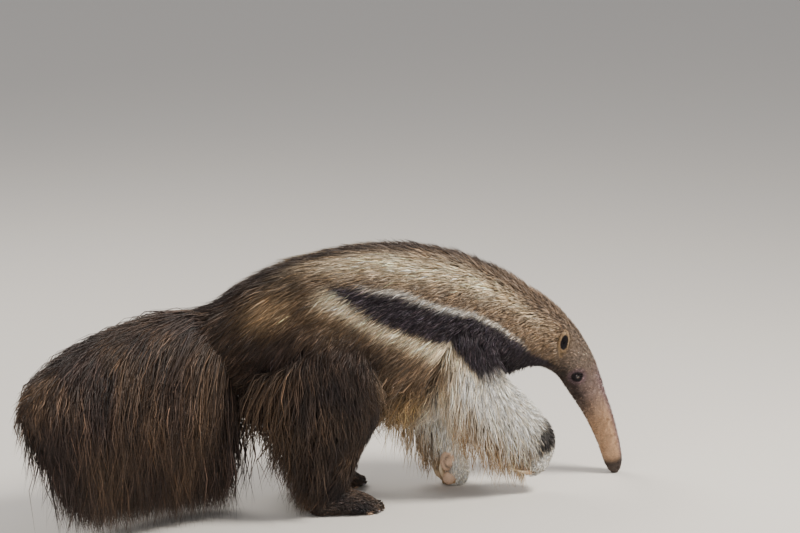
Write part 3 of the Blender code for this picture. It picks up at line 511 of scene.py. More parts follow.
def places_of(mesh: bpy.types.Mesh) -> Floats:
    """Returns a mesh's vertex places."""
    return vertex_rows(mesh, "co")


def triangles_of(mesh: bpy.types.Mesh) -> Ints:
    """Returns a mesh's triangles as rows of vertex numbers."""
    mesh.calc_loop_triangles()
    values = np.empty(len(mesh.loop_triangles) * 3, dtype=np.int32)
    mesh.loop_triangles.foreach_get("vertices", values)
    return values.reshape(-1, 3).astype(int)


def paint(mesh: bpy.types.Mesh, name: str, colours: Floats) -> None:
    """Stores a colour for each vertex of a mesh."""
    layer = mesh.color_attributes.new(name=name, type="FLOAT_COLOR", domain="POINT")
    rows = np.hstack([colours, np.ones((len(colours), 1))])
    layer.data.foreach_set("color", rows.ravel())


def smooth_shaded(obj: bpy.types.Object) -> None:
    """Shades every face of an object smoothly."""
    obj.data.polygons.foreach_set("use_smooth", np.ones(len(obj.data.polygons), dtype=bool))


@dataclass(frozen=True)
class Palette:
    """The colours of the coat and skin."""

    black: Floats = field(default_factory=lambda: tone(27, 23, 28))
    dark: Floats = field(default_factory=lambda: tone(52, 41, 38))
    brown: Floats = field(default_factory=lambda: tone(102, 82, 64))
    tan: Floats = field(default_factory=lambda: tone(170, 142, 108))
    gold: Floats = field(default_factory=lambda: tone(208, 176, 128))
    cream: Floats = field(default_factory=lambda: tone(234, 214, 182))
    white: Floats = field(default_factory=lambda: tone(247, 241, 230))
    grey: Floats = field(default_factory=lambda: tone(126, 110, 98))
    snout: Floats = field(default_factory=lambda: tone(174, 140, 110))
    face: Floats = field(default_factory=lambda: tone(128, 108, 100))
    plum: Floats = field(default_factory=lambda: tone(122, 98, 104))
    band: Floats = field(default_factory=lambda: tone(44, 38, 47))
    pad: Floats = field(default_factory=lambda: tone(206, 174, 148))


@dataclass
class Samples:
    """Points with all that their colour depends on: place, spot, angle from the top of the body's section
    and of the own axis's, unevenness and the axis's name.
    """

    x: Floats
    y: Floats
    z: Floats
    spots: Spots
    angle: Floats
    own: Floats
    rough: Floats
    name: NDArray


@dataclass
class Markings:
    """The coat's pattern: marks drawn as angles from the top of the section, in degrees, along x.

    Each curve pairs x with an angle or a strength. A mark with a middle holds it first and its spread after.
    """

    flesh: Flesh
    palette: Palette
    band_top: Curve = ((-0.02, 44), (0.045, 48), (0.091, 55), (0.130, 57), (0.189, 62), (0.255, 68),
                       (0.328, 71), (0.383, 79), (0.440, 92), (0.487, 110), (0.530, 125), (0.600, 150))
    band_low: Curve = ((-0.02, 45), (0.032, 64), (0.082, 78), (0.152, 87), (0.184, 88), (0.249, 95),
                       (0.302, 112), (0.363, 135), (0.400, 182))
    stripe_low: Curve = ((-0.034, 60), (0.034, 76), (0.091, 90), (0.165, 99), (0.246, 112), (0.285, 124),
                         (0.330, 150))
    pale_middle: Curve = ((-0.088, 14), (0.003, 24), (0.097, 28), (0.163, 34), (0.268, 36), (0.342, 42),
                          (0.419, 48), (0.500, 60))
    pale_strength: Curve = ((-0.16, 0.0), (-0.05, 0.35), (0.05, 0.75), (0.15, 1.0), (0.34, 1.0), (0.43, 0.6),
                            (0.52, 0.15), (0.56, 0.0))
    pale_spread: float = 12.5
    line_strength: Curve = ((0.04, 0.0), (0.10, 0.7), (0.16, 1.0), (0.38, 0.9), (0.44, 0.5), (0.49, 0.0))
    line_above: float = 1.5
    line_spread: float = 1.7
    hip_x: tuple[float, float] = (-0.150, 0.045)
    hip_angle: tuple[float, float] = (48.0, 17.0)
    # Where the painted shade in the fold between flank and thigh lies, as a middle and a spread along x and
    # z.
    fold_shade_x: tuple[float, float] = (0.075, 0.050)
    fold_shade_z: tuple[float, float] = (0.375, 0.045)
    wrist_station: tuple[float, float] = (4.05, 0.62)
    nose_start: float = 15.6
    eye_ring: tuple[float, float] = (0.030, 0.016)
    lid_ring: tuple[float, float] = (0.0165, 0.0140)
    shoulder_level: float = 0.33
    shoulder_slope: float = 0.3

    def colours(self, points: Floats, spots: Spots) -> tuple[Floats, Floats]:
        """Returns the coat's colour at points and how much single tufts differ there.

        Args:
            points: Places on or just above the skin.
            spots: The same points' spots.

        Returns:
            Colours, and a contrast from 0 to 1.
        """
        hue = self.palette
        at = Samples(*points.T, spots, self.section_angle(points, spots), np.degrees(np.abs(spots.angle)),
                     self._ripple(points, 21.0) * 0.5 + self._ripple(points, 47.0) * 0.3,
                     np.array([axis.name for axis in self.flesh.axes])[spots.axis])
        colour, contrast = self._body(at)
        head = (at.name == "body") * smoothstep(HEAD_START - 0.6, HEAD_START + 0.6, spots.station)
        front, front_contrast = self._head(at)
        colour = mixed(colour, front, head)
        contrast = contrast * (1 - head) + front_contrast * head
        fore = np.char.startswith(at.name, "fore")
        colour = mixed(colour, self._foreleg(at), fore * smoothstep(0.34, 0.28, at.z))
        hind = np.char.startswith(at.name, "hind") | np.char.startswith(at.name, "foot")
        rear_hair = np.clip(0.25 + 0.5 * at.rough + 0.35 * smoothstep(110, 160, at.own), 0, 1)
        colour = mixed(colour, mixed(hue.black, hue.brown, rear_hair), hind * smoothstep(0.44, 0.36, at.z))
        tail = (at.name == "tail") * 1.0
        colour = mixed(colour, mixed(hue.dark, hue.brown, np.clip(0.2 + 0.65 * at.rough, 0, 1)), tail)
        ear = np.char.startswith(at.name, "ear") * 1.0
        # The ear's hollow is painted black by its depth: painted shade in the recess.
        cup = smoothstep(-0.0008, -0.0026, spots.depth)
        colour = mixed(colour, mixed(hue.tan, hue.black, cup), ear)
        contrast = np.where(tail > 0, 0.78, np.where(hind, 0.62, np.where(ear > 0, 0.15, contrast)))
        return np.clip(colour, 0.0, 1.0), contrast

    def _body(self, at: Samples) -> tuple[Floats, Floats]:
        """Returns the colour and contrast of back, flanks, belly and shoulders.

        Marks are laid one over another: ground, pale band, dorsal stripe, rump, hip, thigh, cream stripe,
        painted shade in the fold between flank and thigh, belly fringe, white shoulder, black band and the
        white line above it.
        """
        hue, x, z, angle, rough = self.palette, at.x, at.z, at.angle, at.rough
        top, low, under = (along(curve, x) for curve in (self.band_top, self.band_low, self.stripe_low))

        colour = mixed(hue.brown, hue.tan, np.clip(0.42 + 0.5 * rough, 0, 1))
        fore = smoothstep(-0.02, 0.10, x)
        colour = mixed(colour, hue.dark, (1 - fore) * np.clip(0.35 + 0.6 * rough, 0, 1))
        colour = mixed(colour, hue.brown, fore * smoothstep(95, 150, angle) * 0.5)
        upper = smoothstep(-0.06, 0.12, x) * (1 - smoothstep(40, 75, angle) * 0.5)
        colour = mixed(colour, hue.grey, upper * 0.72)

        middle = along(self.pale_middle, x)
        pale = np.exp(-((angle - middle) / self.pale_spread) ** 2) * along(self.pale_strength, x)
        colour = mixed(colour, hue.cream, np.clip(pale * (0.95 + 0.25 * rough), 0, 1))
        dorsal = (1 - smoothstep(5, 17, angle + 4 * rough)) * smoothstep(0.50, 0.40, x)
        colour = mixed(colour, hue.dark, dorsal * 0.85)
        rump = smoothstep(0.02, -0.16, x) * (1 - 0.25 * rough)
        colour = mixed(colour, hue.dark, np.clip(rump * 0.8, 0, 1))
        colour = mixed(colour, hue.tan, self._blot(x, self.hip_x, angle, self.hip_angle) * 0.8)
        thigh = smoothstep(0.10, 0.02, x) * smoothstep(0.50, 0.40, z) * smoothstep(-0.26, -0.16, x)
        colour = mixed(colour, hue.dark, thigh * 0.9)

        cream = smoothstep(low - 3, low + 1, angle) * (1 - smoothstep(under - 6, under + 6, angle))
        cream *= smoothstep(-0.07, -0.01, x) * smoothstep(0.40, 0.33, x)
        colour = mixed(colour, hue.cream, cream * 0.9)
        # Painted shade: the fold between flank and thigh is darkened toward black.
        fold_shade = self._blot(x, self.fold_shade_x, z, self.fold_shade_z) * smoothstep(60, 80, angle)
        colour = mixed(colour, hue.black, fold_shade * 0.75)
        fringe = smoothstep(0.31, 0.24, z) * smoothstep(0.10, 0.17, x) * smoothstep(105, 130, angle)
        colour = mixed(colour, hue.gold, fringe * 0.55)
        white = smoothstep(0.225, 0.30, self._slanted(at)) * smoothstep(low, low + 6, angle)
        white *= smoothstep(0.45, 0.40, x)
        colour = mixed(colour, hue.white, white * 0.95)

        band = smoothstep(top - 1.5, top + 1.5, angle) * (1 - smoothstep(low - 2, low + 2, angle))
        band *= smoothstep(-0.04, 0.0, x) * smoothstep(0.66, 0.58, x)
        colour = mixed(colour, hue.band, band * 0.97)
        line = np.exp(-((angle - top + self.line_above) / self.line_spread) ** 2)
        line = line * along(self.line_strength, x)
        colour = mixed(colour, hue.white, line)
        return colour, 0.55 + 0.20 * band - 0.35 * line - 0.2 * white

    def _head(self, at: Samples) -> tuple[Floats, Floats]:
        """Returns the colour and contrast of head and face: grey nape to tan snout, plum along the top and
        round the eyes, dark under the jaw, on the lids and at the nose.
        """
        hue, angle, station = self.palette, at.angle, at.spots.station
        snout = smoothstep(FACE_START + 0.3, FACE_START + 2.2, station)
        colour = mixed(hue.grey, hue.face, smoothstep(HEAD_START + 0.8, FACE_START + 0.2, station))
        colour = mixed(colour, hue.snout, snout)
        crown = smoothstep(75, 25, angle) * smoothstep(FACE_START - 0.8, FACE_START + 0.6, station)
        colour = mixed(colour, hue.plum, crown * 0.8)
        colour = mixed(colour, hue.dark, 0.8 * smoothstep(108, 140, angle) * (1 - snout))
        away = np.linalg.norm(np.column_stack([at.x, np.abs(at.y), at.z]) - EYE_PLACE, axis=1)
        colour = mixed(colour, hue.plum, 0.8 * smoothstep(*self.eye_ring, away))
        colour = mixed(colour, hue.black, smoothstep(*self.lid_ring, away))
        colour = mixed(colour, hue.black, 0.92 * smoothstep(self.nose_start, self.nose_start + 0.7, station))
        return colour, 0.80 - 0.30 * snout

    def _foreleg(self, at: Samples) -> Floats:
        """Returns the colour of the forelegs: white, tan behind, with a black patch over the wrist that the
        left leg's inner side lacks.
        """
        hue, station = self.palette, at.spots.station
        behind = smoothstep(100, 160, at.own + 20 * at.rough) * smoothstep(0.6, 1.6, station)
        colour = mixed(hue.white, hue.tan, behind)
        elbow = smoothstep(0.31, 0.22, self._slanted(at)) * (1 - smoothstep(2.6, 3.4, station))
        colour = mixed(colour, hue.gold, elbow * 0.8)
        middle, spread = self.wrist_station
        inner = (at.name == "fore_left") & (at.spots.angle < 0)
        wrist = np.exp(-((station - middle) / spread) ** 4)
        wrist = wrist * (1 - smoothstep(100, 135, at.own + 10 * at.rough)) * np.where(inner, 0.0, 1.0)
        return mixed(colour, hue.black, wrist * 0.97)

    def _slanted(self, at: Samples) -> Floats:
        """Returns x measured on a line that slants with the shoulder."""
        return at.x + self.shoulder_slope * (self.shoulder_level - at.z)

    @staticmethod
    def _blot(first: Floats, one_mark: tuple[float, float], second: Floats,
              other_mark: tuple[float, float]) -> Floats:
        """Returns a soft oval mark: the exponential of minus the squares of both scaled offsets."""
        one = (first - one_mark[0]) / one_mark[1]
        two = (second - other_mark[0]) / other_mark[1]
        return np.exp(-one ** 2 - two ** 2)

    def section_angle(self, points: Floats, spots: Spots) -> Floats:
        """Returns degrees from the body's top: round the section at the same x, and ahead of the nape the
        spot's own angle.
        """
        x, y, z = points.T
        body = self.flesh.axes[0]
        centre, up, down, wide = (np.interp(x, body.centre[:, 0], column) for column in
                                  (body.centre[:, 2], body.reach[:, 0], body.reach[:, 1], body.reach[:, 2]))
        height = z - centre
        angle = np.degrees(np.arctan2(np.abs(y) / wide, height / np.where(height > 0, up, down)))
        ahead = smoothstep(0.44, 0.50, x) * (spots.axis == 0)
        return angle + (np.degrees(np.abs(spots.angle)) - angle) * ahead

    @staticmethod
    def _ripple(points: Floats, scale: float) -> Floats:
        """Returns a soft uneven value from -1 to 1: a product of sines of turned coordinates."""
        x, y, z = (points * scale).T
        first = np.sin(x + 1.7 * np.sin(0.8 * z + 0.6 * y)) * np.sin(1.3 * y + 0.9 * np.sin(0.7 * x))
        return 0.6 * first + 0.4 * np.sin(1.1 * z + 1.5 * np.sin(1.2 * x + 0.5 * y))


class Finish:
    """A Principled material and the nodes that feed it."""

    def __init__(self, name: str, roughness: float, specular: float = 0.5) -> None:
        """Makes the material with its shader's plain values."""
        self.material = bpy.data.materials.new(name)
        self.material.use_nodes = True
        self.tree = self.material.node_tree
        self.shader = self.tree.nodes["Principled BSDF"]
        self.shader.inputs["Roughness"].default_value = roughness
        self.shader.inputs["Specular IOR Level"].default_value = specular

    def node(self, kind: str, **values: float) -> bpy.types.Node:
        """Returns a new node with some of its inputs set by name."""
        made = self.tree.nodes.new(kind)
        for key, value in values.items():
            made.inputs[key.replace("_", " ")].default_value = value
        return made

    def link(self, source: bpy.types.NodeSocket, target: bpy.types.NodeSocket) -> None:
        """Joins two sockets."""
        self.tree.links.new(source, target)

    def painted(self) -> bpy.types.NodeSocket:
        """Returns the colour stored on the mesh."""
        reader = self.tree.nodes.new("ShaderNodeAttribute")
        reader.attribute_name = ATTRIBUTE
        return reader.outputs["Color"]

    def bump(self, height: bpy.types.NodeSocket, strength: float, distance: float) -> None:
        """Raises the surface by a height."""
        node = self.node("ShaderNodeBump", Strength=strength, Distance=distance)
        self.link(height, node.inputs["Height"])
        self.link(node.outputs["Normal"], self.shader.inputs["Normal"])

    def grouped(self, group: bpy.types.NodeTree, **values: float) -> bpy.types.Node:
        """Returns a placed copy of a node group with its values set."""
        made = self.tree.nodes.new("ShaderNodeGroup")
        made.node_tree = group
        for key, value in values.items():
            made.inputs[key].default_value = value
        return made


def mottle_group() -> bpy.types.NodeTree:
    """Returns the group that breaks a colour up by two sizes of noise and gives a height of the same."""
    group = bpy.data.node_groups.new("mottle", "ShaderNodeTree")
    face = group.interface
    face.new_socket(name="Colour", in_out="INPUT", socket_type="NodeSocketColor")
    for name, value in (("Fine", 600.0), ("Coarse", 60.0), ("Amount", 0.3)):
        face.new_socket(name=name, in_out="INPUT", socket_type="NodeSocketFloat").default_value = value
    face.new_socket(name="Colour", in_out="OUTPUT", socket_type="NodeSocketColor")
    face.new_socket(name="Height", in_out="OUTPUT", socket_type="NodeSocketFloat")
    nodes, links = group.nodes, group.links
    come, leave = nodes.new("NodeGroupInput"), nodes.new("NodeGroupOutput")
    where = nodes.new("ShaderNodeTexCoord")
    heights = []
    for name, detail in (("Fine", 2.0), ("Coarse", 4.0)):
        noise = nodes.new("ShaderNodeTexNoise")
        noise.inputs["Detail"].default_value = detail
        links.new(where.outputs["Object"], noise.inputs["Vector"])
        links.new(come.outputs[name], noise.inputs["Scale"])
        heights.append(noise.outputs["Fac"])
    total = nodes.new("ShaderNodeMath")
    total.operation = "ADD"
    links.new(heights[0], total.inputs[0])
    links.new(heights[1], total.inputs[1])
    spread = nodes.new("ShaderNodeMath")
    spread.operation = "SUBTRACT"
    spread.inputs[1].default_value = 1.0
    links.new(total.outputs[0], spread.inputs[0])
    gain = nodes.new("ShaderNodeMath")
    gain.operation = "MULTIPLY_ADD"
    gain.inputs[2].default_value = 1.0
    links.new(spread.outputs[0], gain.inputs[0])
    links.new(come.outputs["Amount"], gain.inputs[1])
    scale = nodes.new("ShaderNodeVectorMath")
    scale.operation = "SCALE"
    links.new(come.outputs["Colour"], scale.inputs[0])
    links.new(gain.outputs[0], scale.inputs["Scale"])
    links.new(scale.outputs["Vector"], leave.inputs["Colour"])
    links.new(heights[0], leave.inputs["Height"])
    return group


@dataclass
class Dress:
    """All finishes of the animal."""

    mottle: bpy.types.NodeTree = field(default_factory=mottle_group)

    def mottled(self, name: str, shine: tuple[float, float], noise: Triple,
                relief: tuple[float, float] | None = None) -> Finish:
        """Returns a finish of the painted colour, broken up by noise.

        Args:
            name: The material's name.
            shine: Its roughness and specular level.
            noise: The mottle's fine and coarse scale and its amount.
            relief: The bump's strength and distance, if it has one.
        """
        finish = Finish(name, *shine)
        mottle = finish.grouped(self.mottle, Fine=noise[0], Coarse=noise[1], Amount=noise[2])
        finish.link(finish.painted(), mottle.inputs["Colour"])
        finish.link(mottle.outputs["Colour"], finish.shader.inputs["Base Color"])
        if relief:
            finish.bump(mottle.outputs["Height"], *relief)
        return finish

    def coat(self, name: str, roughness: float) -> bpy.types.Material:
        """Returns a hair finish: the painted colour, a little uneven, with a soft shine."""
        return self.mottled(name, (roughness, 0.35), (900.0, 90.0, 0.5)).material

    def hide(self) -> bpy.types.Material:
        """Returns the skin's finish: painted colour under fine short hair, leathery where it is bare."""
        return self.mottled("hide_skin", (0.62, 0.35), (650.0, 160.0, 1.1), (0.8, 0.0014)).material

    def pad(self) -> bpy.types.Material:
        """Returns the leathery finish of palms and soles."""
        return self.mottled("pad_leather", (0.55, 0.45), (420.0, 90.0, 0.6), (0.6, 0.001)).material

    def claw(self) -> bpy.types.Material:
        """Returns the horn of the claws, finely streaked."""
        return self.mottled("claw_horn", (0.38, 0.5), (500.0, 120.0, 0.4), (0.25, 0.0006)).material

    def eye(self) -> bpy.types.Material:
        """Returns the wet dark eye."""
        finish = self.mottled("eye_wet", (0.08, 0.6), (900.0, 200.0, 0.5))
        finish.shader.inputs["Coat Weight"].default_value = 1.0
        finish.shader.inputs["Coat Roughness"].default_value = 0.03
        return finish.material

    def floor(self) -> bpy.types.Material:
        """Returns the plain pale floor."""
        finish = Finish("studio_floor", 0.9, 0.2)
        finish.shader.inputs["Base Color"].default_value = (0.62, 0.59, 0.55, 1.0)
        return finish.material


def put(obj: bpy.types.Object, finish: bpy.types.Material, slot: Slot, *nodes: str) -> bpy.types.Object:
    """Dresses a finished piece, sets it to ride on the body and hides the parts it stands for."""
    obj.data.materials.clear()
    obj.data.materials.append(finish)
    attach(obj, BODY_NAME)
    if nodes:
        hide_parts(*nodes)
    points = places_of(obj.data)
    LOG.info("%s: %d triangles, %s to %s", obj.name, sum(len(p.vertices) - 2 for p in obj.data.polygons),
             points.min(axis=0).round(3), points.max(axis=0).round(3))
    return obj


class Skin:
    """The one skin over body, head, tail and legs."""

    COAT_SHARE = 0.22
    BODY_VOXEL = 0.0057
    HEAD_VOXEL = 0.0019
    SIDES = 48
    STEPS = 10
    NODES = ("torso", "neck", "head", "snout", "tail", "ear_left", "ear_right", "foreleg_left",
             "foreleg_right", "hand_left", "hand_right", "hindleg_left", "hindleg_right", "foot_left",
             "foot_right")

    def __init__(self) -> None:
        """Prepares the axes."""
        rows: dict[str, tuple[Station, ...]] = {"body": BODY, "tail": TAIL}
        rows["fore_right"] = FORELEG_RIGHT
        rows["fore_left"] = FORELEG_LEFT
        for side in Side:
            places = HIND_AXES[side]
            rows["hind_" + side.word] = tuple(Station(place, *reach)
                                              for place, reach in zip(places, HIND_REACH))
            rows["foot_" + side.word] = self.foot(places[ANKLE], side)
            rows["ear_" + side.word] = self.ear_axis(side)
        axes = [Axis(name, table, self.COAT_SHARE, self.STEPS) for name, table in rows.items()]
        self.flesh = Flesh(axes)

    @staticmethod
    def foot(ankle: Triple, side: Side) -> tuple[Station, ...]:
        """Returns a foot's stations, set under the ankle and turned a little outward."""
        turn = side.value * FOOT_TURN
        return tuple(Station((ankle[0] + place[0] * math.cos(turn), ankle[1] + place[0] * math.sin(turn),
                              place[2]), reach) for place, reach in FOOT)

    @staticmethod
    def ear_frame(side: Side) -> tuple[Floats, Floats]:
        """Returns an ear's root and the direction in which it stands."""
        root = np.array(EAR_ROOT) * (1, side.value, 1)
        lean = unit(np.array(EAR_LEAN) * (1, side.value, 1))
        return root, lean

    def ear_axis(self, side: Side) -> tuple[Station, ...]:
        """Returns the stations along an ear, widest in its middle."""
        root, lean = self.ear_frame(side)
        rows = []
        for share, wide in ((-0.15, 0.5), (0.1, 0.8), (0.4, 1.0), (0.7, 0.85), (0.92, 0.3)):
            place = tuple(root + lean * EAR_LENGTH * share)
            half = EAR_WIDTH * wide / 2
            thin = EAR_THICKNESS * wide / 2
            rows.append(Station(place, (half, half, thin)))
        return tuple(rows)

    def build(self) -> bpy.types.Object:
        """Lofts, joins and shapes the skin, and returns it."""
        forms = []
        for axis in self.flesh.axes:
            if axis.name.startswith("ear"):
                continue
            last = (HEAD_START + 1) * self.STEPS if axis.name == "body" else None
            forms.append(plain_object(axis.name, *tube_mesh(axis.rings(self.SIDES, 0, last))))
        body = remeshed("hide", forms, self.BODY_VOXEL, 8)
        combine(body, self.head(), "UNION")
        points = places_of(body.data)
        points[:, 2] = np.maximum(points[:, 2], 0.0)
        body.data.vertices.foreach_set("co", points.ravel())
        return body

    def head(self) -> bpy.types.Object:
        """Returns the head from the neck to the nose, with lids, eye sockets, ears, mouth and nostrils."""
        body = self.flesh.axes[0]
        start = int((HEAD_START - 0.6) * self.STEPS)
        rings = body.rings(72, start)
        rings[0] = body.centre[start] + (rings[0] - body.centre[start]) * 0.9
        forms = [plain_object("head_form", *tube_mesh(rings))]
        for side in Side:
            forms.append(self.lid(side))
            forms.append(self.ear(side))
        head = remeshed("head", forms, self.HEAD_VOXEL, 4)
        for side in Side:
            flip = np.array([1, side.value, 1])
            socket = egg("socket", np.array(EYE_PLACE) * flip, (EYE_RADIUS + SOCKET_GAP,) * 3)
            combine(head, socket, "DIFFERENCE")
            combine(head, egg("nostril", np.array(NOSTRIL_PLACE) * flip, NOSTRIL_REACH), "DIFFERENCE")
        combine(head, self.mouth(), "DIFFERENCE")
        return head

    def lid(self, side: Side) -> bpy.types.Object:
        """Returns a swollen almond rim round an eye.

        Its middle line is an oval of half length a and half height b, pinched at its corners, and a
        small round section is carried along it.
        """
        turn = np.linspace(0, math.tau, 40, endpoint=False)
        tilt = math.radians(35)
        a = LID_HALF_LENGTH * np.cos(turn)
        b = LID_HALF_HEIGHT * np.sin(turn) * (1 - 0.25 * np.cos(turn) ** 4)
        forward = np.array([math.cos(tilt), 0, -math.sin(tilt)])
        upward = np.array([math.sin(tilt), 0, math.cos(tilt)])
        outward = np.array([0.0, side.value, 0.0])
        centre = np.array(EYE_PLACE) * (1, side.value, 1) + outward * (EYE_RADIUS - 0.0036)
        bow = outward * (-0.22 * (a / LID_HALF_LENGTH) ** 2)[:, None] * LID_HALF_LENGTH
        line = centre + a[:, None] * forward + b[:, None] * upward + bow
        spin = np.linspace(0, math.tau, 12, endpoint=False)
        away = unit(line - centre)
        section = np.cos(spin)[None, :, None] * away[:, None] + np.sin(spin)[None, :, None] * outward
        rings = line[:, None] + section * LID_SECTION
        count, sides = rings.shape[:2]
        ring = np.arange(sides)
        start = (np.arange(count) * sides)[:, None]
        after = ((np.arange(count) + 1) % count * sides)[:, None]
        nxt = (ring + 1) % sides
        faces = np.stack([start + ring, start + nxt, after + nxt, after + ring], axis=-1).reshape(-1, 4)
        return plain_object("lid", rings.reshape(-1, 3), faces.tolist())

    def ear(self, side: Side) -> bpy.types.Object:
        """Returns a narrow upright ear: a leaf that is hollow on its outer face."""
        root, lean = self.ear_frame(side)
        across = unit(np.array([1.0, 0, 0]) - lean * lean[0])
        facing = np.cross(lean, across)
        facing = facing * np.sign(facing[1] * side.value)
        rows = (across, facing, lean)
        leaf = egg("ear", root + lean * EAR_LENGTH * 0.42,
                   (EAR_WIDTH / 2, EAR_THICKNESS / 2, EAR_LENGTH / 2), rows)
        hollow = egg("cup", root + lean * EAR_LENGTH * 0.48 + facing * EAR_THICKNESS * 0.46,
                     (EAR_WIDTH * 0.33, EAR_THICKNESS * 0.5, EAR_LENGTH * 0.34), rows)
        combine(leaf, hollow, "DIFFERENCE")
        return leaf

    def mouth(self) -> bpy.types.Object:
        """Returns the curved slot of the mouth, a thin strip that follows the lips round the nose."""
        turn = np.linspace(-math.pi / 2, math.pi / 2, 25)
        length = np.linspace(0, 1, 3)[:, None]
        pitch = math.radians(72)
        back = np.array([-math.cos(pitch), 0, math.sin(pitch)])
        thick = np.array([math.sin(pitch), 0, math.cos(pitch)]) * 0.0007
        tip = np.array(MOUTH_TIP) - back * 0.012
        wide = np.array([0, 1, 0]) * (turn / 1.6 * 0.04)[None, :, None]
        strip = tip + back * 0.034 * length[..., None] + wide
        faces = []
        rows, columns = strip.shape[:2]
        points = np.vstack([(strip - thick).reshape(-1, 3), (strip + thick).reshape(-1, 3)])
        half = rows * columns
        for i in range(rows - 1):
            for j in range(columns - 1):
                a, d = i * columns + j, (i + 1) * columns + j
                b, c = a + 1, d + 1
                faces += [[a, b, c, d], [half + d, half + c, half + b, half + a]]
        rim = list(range(columns))
        rim += [i * columns + columns - 1 for i in range(1, rows)]
        rim += [(rows - 1) * columns + j for j in range(columns - 2, -1, -1)]
        rim += [i * columns for i in range(rows - 2, 0, -1)]
        faces += [[a, b, half + b, half + a] for a, b in zip(rim, rim[1:] + rim[:1])]
        return plain_object("mouth", points, faces)


def egg(name: str, centre: Floats, reaches: tuple[float, float, float],
        frame_rows: tuple[Floats, Floats, Floats] | None = None) -> bpy.types.Object:
    """Returns a closed egg: latitude and longitude circles scaled along three directions."""
    rows = np.eye(3) if frame_rows is None else np.array(frame_rows)
    lat = np.linspace(0, math.pi, 18)[1:-1, None]
    lon = np.linspace(0, math.tau, 28, endpoint=False)[None]
    ball = np.stack([np.sin(lat) * np.cos(lon), np.sin(lat) * np.sin(lon),
                     np.cos(lat) * np.ones_like(lon)], axis=-1)
    points, faces = tube_mesh(ball)
    points[-2:] = [[0, 0, 1], [0, 0, -1]]
    return plain_object(name, centre + (points * reaches) @ rows, faces)


@dataclass(frozen=True)
class Lie:
    """How hair lies on one axis: its lengths along the stations at top, side and bottom, and its fall."""

    top: tuple[float, ...]
    flank: tuple[float, ...]
    bottom: tuple[float, ...]
    turn: Curve
    lift: Curve
    sag: Curve
    cling: Curve
    forward: float


BODY_LIE = Lie(
    top=(.230, .220, .185, .150, .120, .100, .084, .070, .055, .038, .018, .010, .007, .006, .005,
         .0045, .004, .003, .002),
    flank=(.220, .190, .150, .115, .095, .082, .068, .055, .042, .028, .015, .009, .007, .006, .005,
           .004, .003, .003, .002),
    bottom=(.170, .160, .140, .135, .140, .140, .120, .065, .034, .022, .012, .008, .006, .005, .005, .004,
            .003, .003, .002),
    turn=((0, 0), (27, 8), (54, 16), (82, 26), (110, 44), (136, 62), (180, 75)),
    lift=((0, 0.32), (110, 0.38), (150, 0.75), (180, 0.95)),
    sag=((0, 0.2), (90, 0.5), (140, 1.8), (180, 3.0)),
    cling=((0, 0.8), (90, 0.75), (130, 0.3), (150, 0.0)), forward=-1.0)
TAIL_LIE = Lie(
    top=(.026, .052, .105, .160, .190, .210, .220, .220),
    flank=(.045, .190, .310, .360, .370, .370, .360, .330),
    bottom=(.050, .240, .360, .400, .400, .390, .370, .340),
    turn=((0, 4), (30, 24), (60, 58), (90, 78), (128, 84), (180, 88)),
    lift=((0, 0.45), (40, 0.28), (90, 0.10), (120, 0.45), (150, 1.05), (180, 1.30)),
    sag=((0, 0.5), (45, 1.8), (90, 3.5), (180, 4.0)),
    cling=((0, 0.25), (60, 0.0)), forward=-1.0)
FORE_LIE = Lie(
    top=(.045, .036, .030, .024, .017, .011, .008, .005),
    flank=(.060, .052, .050, .044, .028, .013, .008, .005),
    bottom=(.110, .160, .195, .200, .105, .020, .010, .005),
    turn=((0, 6), (90, 24), (180, 40)),
    lift=((0, 0.35), (180, 0.45)), sag=((0, 0.5), (90, 0.9), (140, 3.0), (180, 4.0)),
    cling=((0, 0.6), (90, 0.45), (125, 0.0)), forward=1.0)
HIND_LIE = Lie(
    top=(.100, .080, .050, .032, .020, .012),
    flank=(.130, .130, .100, .060, .030, .014),
    bottom=(.230, .290, .300, .260, .150, .034),
    turn=((0, 10), (90, 30), (180, 64)),
    lift=((0, 0.30), (90, 0.20), (180, 0.50)), sag=((0, 0.6), (90, 1.4), (140, 2.5), (180, 3.0)),
    cling=((0, 0.6), (90, 0.3), (120, 0.0)), forward=1.0)
FOOT_LIE = Lie(
    top=(.010, .014, .014, .012, .010, .006), flank=(.008, .012, .012, .010, .008, .005),
    bottom=(.003, .003, .003, .003, .003, .003),
    turn=((0, 0), (180, 0)),
    lift=((0, 0.3), (180, 0.3)), sag=((0, 0.2), (180, 0.2)), cling=((0, 0.6), (180, 0.6)), forward=1.0)
EAR_LIE = Lie(
    top=(.006, .006, .006, .005, .004), flank=(.006, .006, .005, .005, .004),
    bottom=(.006, .006, .006, .005, .004),
    turn=((0, 0), (180, 0)),
    lift=((0, 0.3), (180, 0.3)), sag=((0, 0.0), (180, 0.0)), cling=((0, 0.6), (180, 0.6)), forward=1.0)


@dataclass(frozen=True)
class Patch:
    """One coat piece: the axes and stretch it covers, its number of tufts and their make.

    Ears are covered whole, whatever the stretch.
    """

    name: str
    slot: Slot
    axes: tuple[str, ...]
    stations: tuple[float, float]
    angles: tuple[float, float]
    sides: tuple[int, ...]
    tufts: int
    rings: int
    width: float
    clump: float
    curl: float
    nodes: tuple[str, ...] = ()


